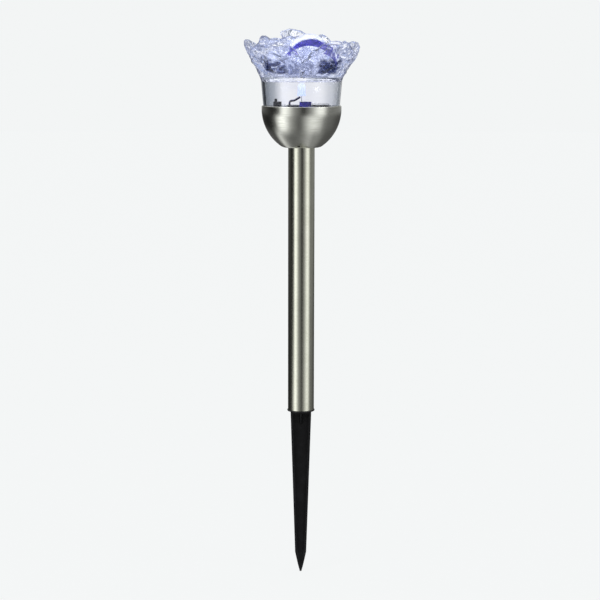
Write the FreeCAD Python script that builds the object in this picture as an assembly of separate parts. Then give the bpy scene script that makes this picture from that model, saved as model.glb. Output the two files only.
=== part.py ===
"""Solar garden light: a clear rose on a spun steel cup, a steel pole and a plastic ground spike.

The origin is on the pole's axis at the ground line, which is the underside of the spike's flange.
+Z points up the pole and -Y is the front. All sizes are in millimetres.
Each sub-part is written to its own file, parts/NODE.step.
"""

import FreeCAD, Part
import math
import os

V = FreeCAD.Vector
UP = V(0, 0, 1)

# ---- Fits ----
PUSH_FIT = 0.05  # radial clearance of a push fit
EASY_FIT = 0.25  # clearance of parts that drop into each other

# ---- Ground spike ----
SPIKE_LENGTH = 116.0  # flange underside to tip
POINT_LENGTH = 15.0  # the steep last stretch
SPIKE_TOP_WIDTH = 14.2
SPIKE_LOW_WIDTH = 7.8
SPIKE_TOP_DEPTH = 11.0
SPIKE_LOW_DEPTH = 6.4
TIP_WIDTH = 1.2
WEB = 2.2  # plate between the two edge flanges
EDGE_FLANGE = 1.5
GUSSET_WIDTH = 2.0
GUSSET_LENGTH = 9.5
PAD_T = 1.6  # solid stretch under the flange
FLANGE_OVERHANG = 0.5  # flange beyond the pole
FLANGE_T = 1.0
SPIKE_PLUG_LENGTH = 24.0
PLUG_WALL = 1.8
PLUG_LEAD_IN = 1.0

# ---- Pole ----
POLE_D = 18.0
POLE_WALL = 0.5
POLE_LENGTH = 181.6

# ---- Neck: the plug in the pole's top that carries the cup ----
NECK_PLUG_LENGTH = 24.0
NECK_TOP_PLATE = 3.0
NECK_BOSS_R = 3.2
NECK_BOSS_LENGTH = 13.0
O_RING_SECTION = 1.8
O_RING_DEPTH = 9.0  # below the cup's underside
O_RING_GAP = 0.03
NECK_SCREW_R = 1.5
NECK_SCREW_LENGTH = 12.0
WASHER_R = 5.0
WASHER_T = 0.8
SCREW_HOLE_GAP = 0.05

# ---- Steel cup ----
CUP_RIM_R = 27.0
CUP_HEIGHT = 27.5
CUP_WALL = 0.6
CUP_BAND = 2.0  # straight band under the rim
CUP_FOOT_R = 13.4
CUP_FOOT_BEAD = 0.5
CUP_FOOT_BEAD_R = 12.0
DRAIN_R = 1.3
DRAIN_OFFSET = -1.6

# ---- Clear flower ----
SKIRT_INSET = 1.1  # skirt's foot inside the cup's rim
SKIRT_FLARE = 1.6  # skirt's top beyond its foot, outside and inside
SKIRT_WALL = 2.4
SKIRT_HEIGHT = 19.5  # rim to the top of the ceiling
CEILING_T = 2.4
SPIGOT_LENGTH = 4.5
SPIGOT_GAP = 0.25
PETAL_T = 2.2
PETAL_COUNT = 5
OUTER_FLARE = 13.0  # petal tips beyond the skirt's top
OUTER_TIP_HEIGHT = 44.5
OUTER_FIRST_ANGLE = 18.0
MIDDLE_BASE_R = 18.5
MIDDLE_TIP_R = 27.0
MIDDLE_TIP_HEIGHT = 47.5
MIDDLE_FIRST_ANGLE = 59.0
INNER_COUNT = 3
INNER_BASE_R = 9.5
INNER_TIP_R = 13.5
INNER_TIP_HEIGHT = 52.0
INNER_FIRST_ANGLE = 112.0
BUD_R = 5.6
BUD_TIP_HEIGHT = 48.0
ROSE_BASE_T = 2.0

# ---- Lamp unit: deck, housing and what they hold ----
DECK_DROP = 1.2  # deck top below the cup's rim
DECK_T = 1.6
DECK_WALL = 1.5
DECK_FLANGE_T = 1.5
GASKET_T = 1.0
HOUSING_GAP = 0.8
HOUSING_WALL = 1.5
HOUSING_DEPTH = 22.2  # underside below the cup's rim
BOTTOM_T = 2.2
FOOT_POST_R = 1.6
FOOT_POST_X = 7.0
FOOT_POST_Y = 8.9
BOSS_R = 2.6
BOSS_AT_R = 18.9
BOSS_LENGTH = 7.5
DECK_SCREW_R = 1.1
DECK_SCREW_LENGTH = 7.0
DECK_SCREW_ANGLES = (70.0, 130.0, 230.0, 290.0)

CELL_D = 10.5
CELL_LENGTH = 30.0
CELL_DEPTH = 14.2  # axis below the rim
CELL_BUTTON_R = 1.9
CELL_BUTTON_T = 0.8
SLEEVE_T = 0.2
SPRING_WIRE_R = 0.3
SPRING_R = 3.0
SPRING_LENGTH = 2.6
SPRING_TURNS = 3
CONTACT_T = 0.4
POSITIVE_TAB = (7.0, 3.0)  # width, reach below the cell's axis
NEGATIVE_TAB = (8.0, 4.0)
DIMPLE_R = 1.5
BAY_RIB_T = 1.2
DOOR_LENGTH = 32.0
DOOR_WIDTH = 13.0
DOOR_T = 1.2
DOOR_LIP = 0.9  # how far the door laps over its opening
DOOR_GAP = 0.2
DOOR_EAR_R = 2.8
DOOR_EAR_Y = 8.8
DOOR_SCREW_R = 0.9
DOOR_SCREW_LENGTH = 5.0

BOARD_R = 19.4
BOARD_T = 1.2
BOARD_ABOVE_CELL = 0.35
CHIP_SIZE = (5.0, 3.6, 1.6)
CHIP_AT = (9.0, -6.0)
CHIP_LIFT = 0.2  # body above the board
CHIP_LEGS = 4
CHIP_LEG_PITCH = 1.2
CHIP_LEG_WIDTH = 0.4
CHIP_LEG_T = 0.3
CHIP_LEG_REACH = 1.9
INDUCTOR_R = 1.3
INDUCTOR_LENGTH = 7.0
INDUCTOR_WIRE_R = 0.3
INDUCTOR_WIRE_REACH = 1.2
INDUCTOR_AT = (-8.0, 7.0)
LEG_PITCH = 2.54
LEG_SIDE = 0.5

LED_R = 2.5
LED_COLLAR_R = 2.9
LED_COLLAR_T = 1.0
LED_HEIGHT = 8.6
LED_FOOT_HEIGHT = 6.8  # above the rim
LED_BLOCK = (8.0, 7.4, 4.0)
LED_BLOCK_X = 2.6

PANEL_LENGTH = 26.0  # along Y
PANEL_WIDTH = 11.0
PANEL_X = 12.6
PANEL_BOARD_T = 1.6
CELL_STRIP_T = 0.3
RESIN_T = 1.2
PANEL_BORDER = 1.0
STRIP_COUNT = 4
STRIP_GAP = 0.5

TERMINAL_BOARD = (7.6, 10.0, 1.6)
TERMINAL_X = -5.6

SWITCH_BODY = (5.2, 8.6, 4.0)
SWITCH_AT = (-16.2, 0.0)
SWITCH_TRAVEL = 2.0
LEVER = (1.7, 2.0, 2.0)
LEVER_X = -1.1  # from the switch body's centre
LEVER_EDGE = 0.3
SLOT_DEPTH = 1.2
SWITCH_PIN_PITCH = 2.5

LEAD_R = 0.65
LEAD_SPREAD = 1.9
LEAD_RISE = 2.9  # upright part above the terminal board
LEAD_RUN = 3.4
LEAD_BENDS = (1.6, 2.4)
PIN_R = 0.35

# ---- Levels worked out from the sizes above ----
POLE_FOOT_Z = FLANGE_T
CUP_Z = POLE_FOOT_Z + POLE_LENGTH
RIM_Z = CUP_Z + CUP_HEIGHT
POLE_BORE_R = POLE_D / 2 - POLE_WALL
PLUG_R = POLE_BORE_R - PUSH_FIT
BOWL_RUN = CUP_RIM_R - CUP_FOOT_R
BOWL_DROP = CUP_HEIGHT - CUP_BAND
BOWL_ARC_R = (BOWL_RUN**2 + BOWL_DROP**2) / (2 * BOWL_RUN)
BOWL_AXIS_R = CUP_RIM_R - BOWL_ARC_R  # radius at which the arc's centre lies
BOWL_CENTRE_Z = RIM_Z - CUP_BAND
CUP_FLOOR_Z = CUP_Z + CUP_WALL
SKIRT_FOOT_R = CUP_RIM_R - SKIRT_INSET
SKIRT_BORE_R = SKIRT_FOOT_R - SKIRT_WALL
SKIRT_R = SKIRT_FOOT_R + SKIRT_FLARE
CEILING_Z = RIM_Z + SKIRT_HEIGHT
DECK_TOP_Z = RIM_Z - DECK_DROP
DECK_R = SKIRT_BORE_R - EASY_FIT
GASKET_TOP_Z = RIM_Z - SPIGOT_LENGTH
DECK_FLANGE_TOP_Z = GASKET_TOP_Z - GASKET_T
DECK_FLANGE_Z = DECK_FLANGE_TOP_Z - DECK_FLANGE_T
HOUSING_Z = RIM_Z - HOUSING_DEPTH
CELL_Z = RIM_Z - CELL_DEPTH
BOARD_Z = CELL_Z + CELL_D / 2 + BOARD_ABOVE_CELL
BAY_HALF = CELL_LENGTH / 2 + SPRING_LENGTH
LED_Z = RIM_Z + LED_FOOT_HEIGHT


def bowl_radius(z, inset):
    """Radius at height z of the bowl's curve, moved inwards from the cup's outside by inset."""
    if z >= BOWL_CENTRE_Z:
        return CUP_RIM_R - inset
    return BOWL_AXIS_R + math.sqrt((BOWL_ARC_R - inset) ** 2 - (BOWL_CENTRE_Z - z) ** 2)


# ---- Shared shape helpers ----
def cylinder(r, h, z, x=0.0, y=0.0):
    """An upright cylinder whose foot is at z."""
    return Part.makeCylinder(r, h, V(x, y, z), UP)


def ring(r_out, r_in, h, z, x=0.0, y=0.0):
    """An upright ring with a plain bore."""
    return cylinder(r_out, h, z, x, y).cut(cylinder(r_in, h, z, x, y))


def block(size, x, y, z):
    """A box centred on x and y, standing on z."""
    return Part.makeBox(size[0], size[1], size[2], V(x - size[0] / 2, y - size[1] / 2, z))


def revolve(edges):
    """The solid that a closed profile in the XZ plane sweeps round the Z axis."""
    face = Part.Face(Part.Wire(Part.__sortEdges__(edges)))
    return face.revolve(V(0, 0, 0), UP, 360)


def polygon_edges(points):
    """Straight edges through (r, z) points, not closed."""
    spots = [V(r, 0, z) for r, z in points]
    return [Part.makeLine(a, b) for a, b in zip(spots, spots[1:])]


def bowl_arc(z_high, z_low, inset):
    """The bowl's curve between two heights, as one arc edge in the XZ plane."""
    z_mid = (z_high + z_low) / 2
    spots = [V(bowl_radius(z, inset), 0, z) for z in (z_high, z_mid, z_low)]
    return Part.Arc(*spots).toShape()


def turned(shape, angle):
    """A copy turned about the Z axis by angle in degrees."""
    copy = shape.copy()
    copy.rotate(V(0, 0, 0), UP, angle)
    return copy


def fused(shapes):
    """One solid from overlapping ones, with its seams removed."""
    whole = shapes[0].fuse(shapes[1:])
    return whole.removeSplitter()


def rectangle(width, depth, z):
    """A closed rectangle centred on the axis at height z."""
    w, d = width / 2, depth / 2
    corners = [V(-w, -d, z), V(w, -d, z), V(w, d, z), V(-w, d, z), V(-w, -d, z)]
    return Part.makePolygon(corners)


def pan_head(r, x, y, z):
    """A pan head with a cross recess, standing on z, for a screw of radius r."""
    head_r, head_h = 1.85 * r, 1.1 * r
    head = cylinder(head_r, head_h, z, x, y)
    head = head.makeFillet(0.3 * r, [head.Edges[0]])
    slot_depth = 0.55 * r
    for size in ((1.9 * r, 0.4 * r, slot_depth), (0.4 * r, 1.9 * r, slot_depth)):
        head = head.cut(block(size, x, y, z + head_h - slot_depth))
    return head


def screw(r, length, x, y, z, up=True):
    """A pan-head screw: head on z, shank the other way. up is the side that the head is on."""
    whole = fused([pan_head(r, x, y, z), cylinder(r, length, z - length, x, y)])
    if not up:
        whole.rotate(V(x, y, z), V(1, 0, 0), 180)
    return whole


def swept_wire(points, bends, wire_r):
    """A round wire along straight runs joined by tangent arcs of the radii in bends."""
    spots = [V(*p) for p in points]
    edges, start = [], spots[0]
    for before, corner, after, radius in zip(spots, spots[1:], spots[2:], bends):
        to_corner = (corner - before).normalize()
        from_corner = (after - corner).normalize()
        half = math.acos(max(-1.0, min(1.0, to_corner.dot(from_corner)))) / 2
        reach = radius * math.tan(half)
        enter, leave = corner - to_corner * reach, corner + from_corner * reach
        bisector = (from_corner - to_corner).normalize()
        middle = corner + bisector * (radius / math.cos(half) - radius)
        edges += [Part.makeLine(start, enter), Part.Arc(enter, middle, leave).toShape()]
        start = leave
    edges.append(Part.makeLine(start, spots[-1]))
    path = Part.Wire(edges)
    direction = (spots[1] - spots[0]).normalize()
    section = Part.Wire(Part.makeCircle(wire_r, spots[0], direction))
    return path.makePipeShell([section], True, True)


# ---- Ground spike ----
def ground_spike():
    """H-section spike with a point, a flange that meets the ground, and a hollow plug above it."""
    shoulder_z = POINT_LENGTH - SPIKE_LENGTH
    body = Part.makeLoft(
        [
            rectangle(SPIKE_TOP_WIDTH, SPIKE_TOP_DEPTH, 0),
            rectangle(SPIKE_LOW_WIDTH, SPIKE_LOW_DEPTH, shoulder_z),
        ],
        True,
        True,
    )
    point = Part.makeLoft(
        [
            rectangle(SPIKE_LOW_WIDTH, SPIKE_LOW_DEPTH, shoulder_z),
            rectangle(TIP_WIDTH, TIP_WIDTH, -SPIKE_LENGTH),
        ],
        True,
        True,
    )
    body = fused([body, point])
    pad = body.common(block((SPIKE_TOP_WIDTH, SPIKE_TOP_DEPTH, PAD_T), 0, 0, -PAD_T))
    top_x = SPIKE_TOP_WIDTH / 2 - EDGE_FLANGE
    low_x = SPIKE_LOW_WIDTH / 2 - EDGE_FLANGE
    pocket_z = shoulder_z + 1.5 * EDGE_FLANGE
    outline = [V(-top_x, 0, 0), V(top_x, 0, 0), V(low_x, 0, pocket_z), V(-low_x, 0, pocket_z)]
    pocket = Part.Face(Part.makePolygon(outline + [outline[0]]))
    for side in (-1, 1):
        cutter = pocket.copy()
        cutter.translate(V(0, side * WEB / 2, 0))
        body = body.cut(cutter.extrude(V(0, side * SPIKE_TOP_DEPTH, 0)))
    rib_reach = SPIKE_TOP_DEPTH / 2 - WEB / 2
    corners = [
        V(-GUSSET_WIDTH / 2, 0, 0),
        V(-GUSSET_WIDTH / 2, rib_reach, 0),
        V(-GUSSET_WIDTH / 2, 0.45 * rib_reach, -GUSSET_LENGTH),
        V(-GUSSET_WIDTH / 2, 0, -GUSSET_LENGTH),
    ]
    rib = Part.Face(Part.makePolygon(corners + [corners[0]])).extrude(V(GUSSET_WIDTH, 0, 0))
    rib.translate(V(0, WEB / 2, 0))
    flange = cylinder(POLE_D / 2 + FLANGE_OVERHANG, FLANGE_T, 0)
    plug = cylinder(PLUG_R, SPIKE_PLUG_LENGTH, FLANGE_T)
    rim = [e for e in plug.Edges if abs(e.BoundBox.ZMin - FLANGE_T - SPIKE_PLUG_LENGTH) < 1e-6]
    plug = plug.makeChamfer(PLUG_LEAD_IN, rim)
    hollow = cylinder(PLUG_R - PLUG_WALL, SPIKE_PLUG_LENGTH, FLANGE_T + PLUG_WALL)
    cross = block((2 * PLUG_R - PLUG_WALL, PLUG_WALL, SPIKE_PLUG_LENGTH - 3 * PLUG_LEAD_IN), 0, 0, FLANGE_T)
    return fused([body, pad, rib, turned(rib, 180), flange, plug.cut(hollow), cross])


def pole_tube():
    """The thin steel pole, open at both ends."""
    return ring(POLE_D / 2, POLE_BORE_R, POLE_LENGTH, POLE_FOOT_Z)


# ---- Neck ----
def neck_plug():
    """Hollow plug in the pole's top with a screw boss and a groove for the rubber ring."""
    foot_z = CUP_Z - NECK_PLUG_LENGTH
    body = cylinder(PLUG_R, NECK_PLUG_LENGTH, foot_z)
    rim = [e for e in body.Edges if abs(e.BoundBox.ZMax - foot_z) < 1e-6]
    body = body.makeChamfer(PLUG_LEAD_IN, rim)
    body = body.cut(cylinder(PLUG_R - PLUG_WALL, NECK_PLUG_LENGTH - NECK_TOP_PLATE, foot_z))
    groove_z = CUP_Z - O_RING_DEPTH - O_RING_SECTION / 2 - PUSH_FIT
    groove_r = POLE_BORE_R - O_RING_GAP - O_RING_SECTION - PUSH_FIT
    groove_h = O_RING_SECTION + 2 * PUSH_FIT
    land_z = groove_z - PLUG_WALL
    land = ring(PLUG_R - 0.01, groove_r - PLUG_WALL, groove_h + 2 * PLUG_WALL, land_z)
    boss = cylinder(NECK_BOSS_R, NECK_BOSS_LENGTH, CUP_Z - NECK_BOSS_LENGTH)
    body = fused([body, land, boss])
    body = body.cut(ring(PLUG_R + 1, groove_r, groove_h, groove_z))
    pilot = cylinder(NECK_SCREW_R + SCREW_HOLE_GAP, NECK_BOSS_LENGTH, CUP_Z - NECK_BOSS_LENGTH)
    return body.cut(pilot)


def neck_o_ring():
    """Rubber ring in the plug's groove that grips the pole."""
    r = O_RING_SECTION / 2
    return Part.makeTorus(POLE_BORE_R - O_RING_GAP - r, r, V(0, 0, CUP_Z - O_RING_DEPTH), UP)


def neck_washer():
    return ring(WASHER_R, NECK_SCREW_R + SCREW_HOLE_GAP, WASHER_T, CUP_FLOOR_Z)


def neck_screw():
    return screw(NECK_SCREW_R, NECK_SCREW_LENGTH, 0, 0, CUP_FLOOR_Z + WASHER_T)


def steel_cup():
    """Spun bowl with a straight band, a rounded rim, a pressed foot and a drain notch."""
    lip = CUP_WALL / 2
    inner_r = CUP_RIM_R - CUP_WALL
    lip_mid = V(CUP_RIM_R - lip, 0, RIM_Z)
    edges = [
        Part.Arc(V(CUP_RIM_R, 0, RIM_Z - lip), lip_mid, V(inner_r, 0, RIM_Z - lip)).toShape(),
        Part.makeLine(V(CUP_RIM_R, 0, RIM_Z - lip), V(CUP_RIM_R, 0, BOWL_CENTRE_Z)),
        bowl_arc(BOWL_CENTRE_Z, CUP_Z, 0),
        Part.makeLine(V(inner_r, 0, RIM_Z - lip), V(inner_r, 0, BOWL_CENTRE_Z)),
        bowl_arc(BOWL_CENTRE_Z, CUP_FLOOR_Z, CUP_WALL),
    ]
    hole_r = NECK_SCREW_R + 4 * SCREW_HOLE_GAP
    edges += polygon_edges(
        [
            (bowl_radius(CUP_Z, 0), CUP_Z),
            (hole_r, CUP_Z),
            (hole_r, CUP_FLOOR_Z),
            (bowl_radius(CUP_FLOOR_Z, CUP_WALL), CUP_FLOOR_Z),
        ]
    )
    cup = revolve(edges)
    bead = Part.makeTorus(CUP_FOOT_BEAD_R, CUP_FOOT_BEAD, V(0, 0, CUP_Z + CUP_FOOT_BEAD / 2), UP)
    bead = bead.common(cylinder(CUP_FOOT_R + 1, CUP_WALL / 2 + CUP_FOOT_BEAD, CUP_Z - CUP_FOOT_BEAD))
    cup = fused([cup, bead])
    drain = Part.makeCylinder(DRAIN_R, CUP_FOOT_R, V(DRAIN_OFFSET, -CUP_FOOT_BEAD_R, CUP_Z), V(0, -1, 0))
    return cup.cut(drain)


# ---- Clear flower ----
def band(radius, half_angle, z, thickness, bow=0.0):
    """A closed strip of ring at height z, outside radius given; bow pushes its middle outwards."""
    a = math.radians(half_angle)
    wires = []
    for r in (radius, radius - thickness):
        end, mid = V(r * math.cos(a), r * math.sin(a), z), V(r + bow, 0, z)
        wires.append((V(end.x, -end.y, z), mid, end))
    outer, inner = wires
    edges = [
        Part.Arc(*outer).toShape(),
        Part.makeLine(outer[2], inner[2]),
        Part.Arc(inner[2], inner[1], inner[0]).toShape(),
        Part.makeLine(inner[0], outer[0]),
    ]
    return Part.Wire(edges)


def petal(stations, thickness):
    """A curved petal through stations of (radius, height above the rim, half angle, bow)."""
    wires = [band(r, half, RIM_Z + h, thickness, bow) for r, h, half, bow in stations]
    return Part.makeLoft(wires, True)


def flower_cover():
    """Skirt with a closed top that drops into the cup, and five flaring outer petals."""
    spigot_r = bowl_radius(GASKET_TOP_Z, CUP_WALL) - SPIGOT_GAP
    spigot = ring(spigot_r, SKIRT_BORE_R, SPIGOT_LENGTH, GASKET_TOP_Z)
    bore_top_r = SKIRT_R - SKIRT_WALL
    outline = [
        (SKIRT_BORE_R, RIM_Z),
        (SKIRT_FOOT_R, RIM_Z),
        (SKIRT_R, CEILING_Z),
        (0, CEILING_Z),
        (0, CEILING_Z - CEILING_T),
        (bore_top_r, CEILING_Z - CEILING_T),
        (SKIRT_BORE_R, RIM_Z),
    ]
    skirt = revolve(polygon_edges(outline))
    rise = OUTER_TIP_HEIGHT - SKIRT_HEIGHT
    stations = [
        (SKIRT_R - 0.2, SKIRT_HEIGHT - 4.5, 34, 0.0),
        (SKIRT_R + 0.08 * OUTER_FLARE, SKIRT_HEIGHT + 0.08 * rise, 35.5, 0.2),
        (SKIRT_R + 0.36 * OUTER_FLARE, SKIRT_HEIGHT + 0.42 * rise, 34, 0.6),
        (SKIRT_R + 0.62 * OUTER_FLARE, SKIRT_HEIGHT + 0.78 * rise, 29, 1.2),
        (SKIRT_R + 0.74 * OUTER_FLARE, OUTER_TIP_HEIGHT, 20, 0.26 * OUTER_FLARE),
    ]
    leaf = petal(stations, PETAL_T)
    step = 360.0 / PETAL_COUNT
    leaves = [turned(leaf, OUTER_FIRST_ANGLE + i * step) for i in range(PETAL_COUNT)]
    return fused([skirt, spigot] + leaves)


def middle_petals():
    """Five upright petals on a base disc that stands on the skirt's closed top."""
    base = cylinder(MIDDLE_BASE_R, ROSE_BASE_T, CEILING_Z)
    spread = MIDDLE_TIP_R - MIDDLE_BASE_R
    rise = MIDDLE_TIP_HEIGHT - SKIRT_HEIGHT
    stations = [
        (MIDDLE_BASE_R, SKIRT_HEIGHT + 0.1, 33, 0.0),
        (MIDDLE_BASE_R + 0.35 * spread, SKIRT_HEIGHT + 0.3 * rise, 34, 0.6),
        (MIDDLE_BASE_R + 0.60 * spread, SKIRT_HEIGHT + 0.65 * rise, 30, 0.8),
        (MIDDLE_BASE_R + 0.80 * spread, SKIRT_HEIGHT + 0.88 * rise, 20, 0.5),
        (MIDDLE_TIP_R, MIDDLE_TIP_HEIGHT, 6, 0.1),
    ]
    leaf = petal(stations, PETAL_T)
    step = 360.0 / PETAL_COUNT
    return fused([base] + [turned(leaf, MIDDLE_FIRST_ANGLE + i * step) for i in range(PETAL_COUNT)])


def rose_heart():
    """Three inner petals closed round a bud, on a small base."""
    foot = SKIRT_HEIGHT + ROSE_BASE_T
    rise = INNER_TIP_HEIGHT - foot
    base = cylinder(INNER_BASE_R, ROSE_BASE_T, RIM_Z + foot)
    spread = INNER_TIP_R - INNER_BASE_R
    stations = [
        (INNER_BASE_R, foot + 0.1, 56, 0.0),
        (INNER_BASE_R + 0.9 * spread, foot + 0.4 * rise, 57, 0.0),
        (INNER_BASE_R + 0.6 * spread, foot + 0.8 * rise, 48, 0.0),
        (INNER_TIP_R, foot + rise, 20, 0.0),
    ]
    leaf = petal(stations, PETAL_T)
    step = 360.0 / INNER_COUNT
    leaves = [turned(leaf, INNER_FIRST_ANGLE + i * step) for i in range(INNER_COUNT)]
    waist_z = RIM_Z + foot + 0.55 * (BUD_TIP_HEIGHT - foot)
    tip_z = RIM_Z + BUD_TIP_HEIGHT
    bud_edges = [
        Part.Arc(V(0.5 * BUD_R, 0, RIM_Z + foot), V(BUD_R, 0, waist_z), V(1.0, 0, tip_z)).toShape(),
        Part.makeLine(V(1.0, 0, tip_z), V(0, 0, tip_z)),
        Part.makeLine(V(0, 0, tip_z), V(0, 0, RIM_Z + foot)),
        Part.makeLine(V(0, 0, RIM_Z + foot), V(0.5 * BUD_R, 0, RIM_Z + foot)),
    ]
    return fused([base, revolve(bud_edges)] + leaves)


# ---- Lamp unit ----
def screw_spots():
    return [
        (BOSS_AT_R * math.cos(math.radians(a)), BOSS_AT_R * math.sin(math.radians(a)))
        for a in DECK_SCREW_ANGLES
    ]


def lamp_deck():
    """White top-hat deck: plateau inside the skirt, flange under the gasket."""
    plateau = cylinder(DECK_R, DECK_TOP_Z - DECK_FLANGE_Z, DECK_FLANGE_Z)
    inside = cylinder(DECK_R - DECK_WALL, DECK_TOP_Z - DECK_T - DECK_FLANGE_Z, DECK_FLANGE_Z)
    flange_r = bowl_radius(DECK_FLANGE_Z, CUP_WALL) - EASY_FIT
    flange = ring(flange_r, DECK_R - DECK_WALL, DECK_FLANGE_T, DECK_FLANGE_Z)
    deck = fused([plateau.cut(inside), flange])
    for x, y in screw_spots():
        deck = deck.cut(cylinder(DECK_SCREW_R + 2 * SCREW_HOLE_GAP, DECK_T, DECK_TOP_Z - DECK_T, x, y))
    for x, y in pin_spots("terminal") + pin_spots("panel") + pin_spots("switch"):
        deck = deck.cut(cylinder(PIN_R + SCREW_HOLE_GAP, DECK_T, DECK_TOP_Z - DECK_T, x, y))
    slot = (2 * LEG_SIDE, LEG_PITCH + 2 * LEG_SIDE, DECK_T)
    return deck.cut(block(slot, 0, 0, DECK_TOP_Z - DECK_T))


def gasket_ring():
    """Flat rubber ring between the flower's spigot and the deck's flange."""
    r_out = bowl_radius(DECK_FLANGE_TOP_Z, CUP_WALL) - 2 * EASY_FIT
    return ring(r_out, DECK_R + PUSH_FIT, GASKET_T, DECK_FLANGE_TOP_Z)


def housing_room(floor_z):
    """The room inside the housing, carried a little into its walls so that ribs join them."""
    inset = CUP_WALL + HOUSING_GAP + 0.5 * HOUSING_WALL
    low_z = floor_z - 0.3 * BOTTOM_T
    edges = [bowl_arc(DECK_FLANGE_Z, low_z, inset)]
    edges += polygon_edges(
        [
            (bowl_radius(DECK_FLANGE_Z, inset), DECK_FLANGE_Z),
            (0, DECK_FLANGE_Z),
            (0, low_z),
            (bowl_radius(low_z, inset), low_z),
        ]
    )
    return revolve(edges)


def module_housing():
    """Black tub that follows the bowl, with screw bosses, the cell's bay and four feet."""
    inset = CUP_WALL + HOUSING_GAP
    floor_z = HOUSING_Z + BOTTOM_T
    edges = [
        bowl_arc(DECK_FLANGE_Z, HOUSING_Z, inset),
        bowl_arc(DECK_FLANGE_Z, floor_z, inset + HOUSING_WALL),
    ]
    edges += polygon_edges(
        [
            (bowl_radius(DECK_FLANGE_Z, inset), DECK_FLANGE_Z),
            (bowl_radius(DECK_FLANGE_Z, inset + HOUSING_WALL), DECK_FLANGE_Z),
        ]
    )
    edges += polygon_edges(
        [
            (bowl_radius(HOUSING_Z, inset), HOUSING_Z),
            (0, HOUSING_Z),
            (0, floor_z),
            (bowl_radius(floor_z, inset + HOUSING_WALL), floor_z),
        ]
    )
    tub = revolve(edges)
    boss_top = DECK_TOP_Z - DECK_T
    parts = [tub]
    for x, y in screw_spots():
        parts.append(cylinder(BOSS_R, BOSS_LENGTH, boss_top - BOSS_LENGTH, x, y))
    room = housing_room(floor_z)
    rib_z = boss_top - BOSS_LENGTH
    for angle in DECK_SCREW_ANGLES:
        wall_rib = block((CUP_RIM_R - BOSS_AT_R, 0.6 * BOSS_R, DECK_FLANGE_Z - rib_z), 0, 0, rib_z)
        wall_rib.translate(V((CUP_RIM_R + BOSS_AT_R) / 2 + 0.5 * BOSS_R, 0, 0))
        parts.append(turned(wall_rib, angle).common(room))
    for sx in (-1, 1):
        rib_x = sx * (BAY_HALF + CONTACT_T + BAY_RIB_T / 2)
        rib = block((BAY_RIB_T, CELL_D + 2 * BAY_RIB_T, BOARD_Z - floor_z + 0.1), rib_x, 0, floor_z - 0.1)
        parts.append(rib.common(room))
        side = block((CELL_LENGTH, BAY_RIB_T, CELL_Z - floor_z + 0.1), 0, 0, floor_z - 0.1)
        side.translate(V(0, sx * (CELL_D / 2 + EASY_FIT + BAY_RIB_T / 2), 0))
        parts.append(side)
        for sy in (-1, 1):
            post_h = HOUSING_Z - CUP_FLOOR_Z
            post = cylinder(FOOT_POST_R, post_h + 0.1, CUP_FLOOR_Z, sx * FOOT_POST_X, sy * FOOT_POST_Y)
            parts.append(post)
    parts.append(cylinder(DOOR_EAR_R, DOOR_SCREW_LENGTH, HOUSING_Z + DOOR_T, 0, DOOR_EAR_Y))
    tub = fused(parts)
    for x, y in screw_spots():
        tub = tub.cut(cylinder(DECK_SCREW_R + SCREW_HOLE_GAP, BOSS_LENGTH, boss_top - BOSS_LENGTH, x, y))
    opening = block((DOOR_LENGTH - 2 * DOOR_LIP, DOOR_WIDTH - 2 * DOOR_LIP, BOTTOM_T), 0, 0, HOUSING_Z)
    tub = tub.cut(opening).cut(door_outline(DOOR_GAP, DOOR_T + DOOR_GAP / 2, HOUSING_Z))
    return tub.cut(
        cylinder(DOOR_SCREW_R + SCREW_HOLE_GAP, DOOR_SCREW_LENGTH, HOUSING_Z + DOOR_T, 0, DOOR_EAR_Y)
    )


def door_outline(grow, height, z):
    """The door's plate with its screw ear, grown by a gap all round for its seat."""
    plate = block((DOOR_LENGTH + 2 * grow, DOOR_WIDTH + 2 * grow, height), 0, 0, z)
    ear = cylinder(DOOR_EAR_R + grow, height, z, 0, DOOR_EAR_Y)
    neck = block((2 * (DOOR_EAR_R + grow), DOOR_EAR_Y, height), 0, DOOR_EAR_Y / 2, z)
    return fused([plate, ear, neck])


def battery_door():
    """Cover under the cell, flush with the housing's underside."""
    door = door_outline(0, DOOR_T, HOUSING_Z)
    return door.cut(cylinder(DOOR_SCREW_R + 2 * SCREW_HOLE_GAP, DOOR_T, HOUSING_Z, 0, DOOR_EAR_Y))


def battery_cell():
    """Short rechargeable cell lying along X, with its contact button at the right."""
    along = V(1, 0, 0)
    r = CELL_D / 2 - SLEEVE_T
    can = Part.makeCylinder(r, CELL_LENGTH - CELL_BUTTON_T, V(-CELL_LENGTH / 2, 0, CELL_Z), along)
    button_at = V(CELL_LENGTH / 2 - CELL_BUTTON_T, 0, CELL_Z)
    button = Part.makeCylinder(CELL_BUTTON_R, CELL_BUTTON_T, button_at, along)
    return fused([can, button])


def battery_sleeve():
    """Shrink sleeve round the cell's can."""
    along = V(1, 0, 0)
    length = CELL_LENGTH - CELL_BUTTON_T
    start = V(-CELL_LENGTH / 2, 0, CELL_Z)
    outside = Part.makeCylinder(CELL_D / 2, length, start, along)
    return outside.cut(Part.makeCylinder(CELL_D / 2 - SLEEVE_T, length, start, along))


def positive_contact():
    """Bent steel tab behind the cell's button, bearing on it with a pressed dimple."""
    x = BAY_HALF + CONTACT_T / 2
    width, tab_foot = POSITIVE_TAB[0], CELL_Z - POSITIVE_TAB[1]
    plate = block((CONTACT_T, width, BOARD_Z - tab_foot), x, 0, tab_foot)
    along = V(1, 0, 0)
    hollow_r = DIMPLE_R - CONTACT_T
    dimple = Part.makeCylinder(DIMPLE_R, SPRING_LENGTH, V(CELL_LENGTH / 2, 0, CELL_Z), along)
    hollow = Part.makeCylinder(hollow_r, SPRING_LENGTH, V(CELL_LENGTH / 2 + CONTACT_T, 0, CELL_Z), along)
    return fused([plate, dimple]).cut(hollow)


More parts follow.
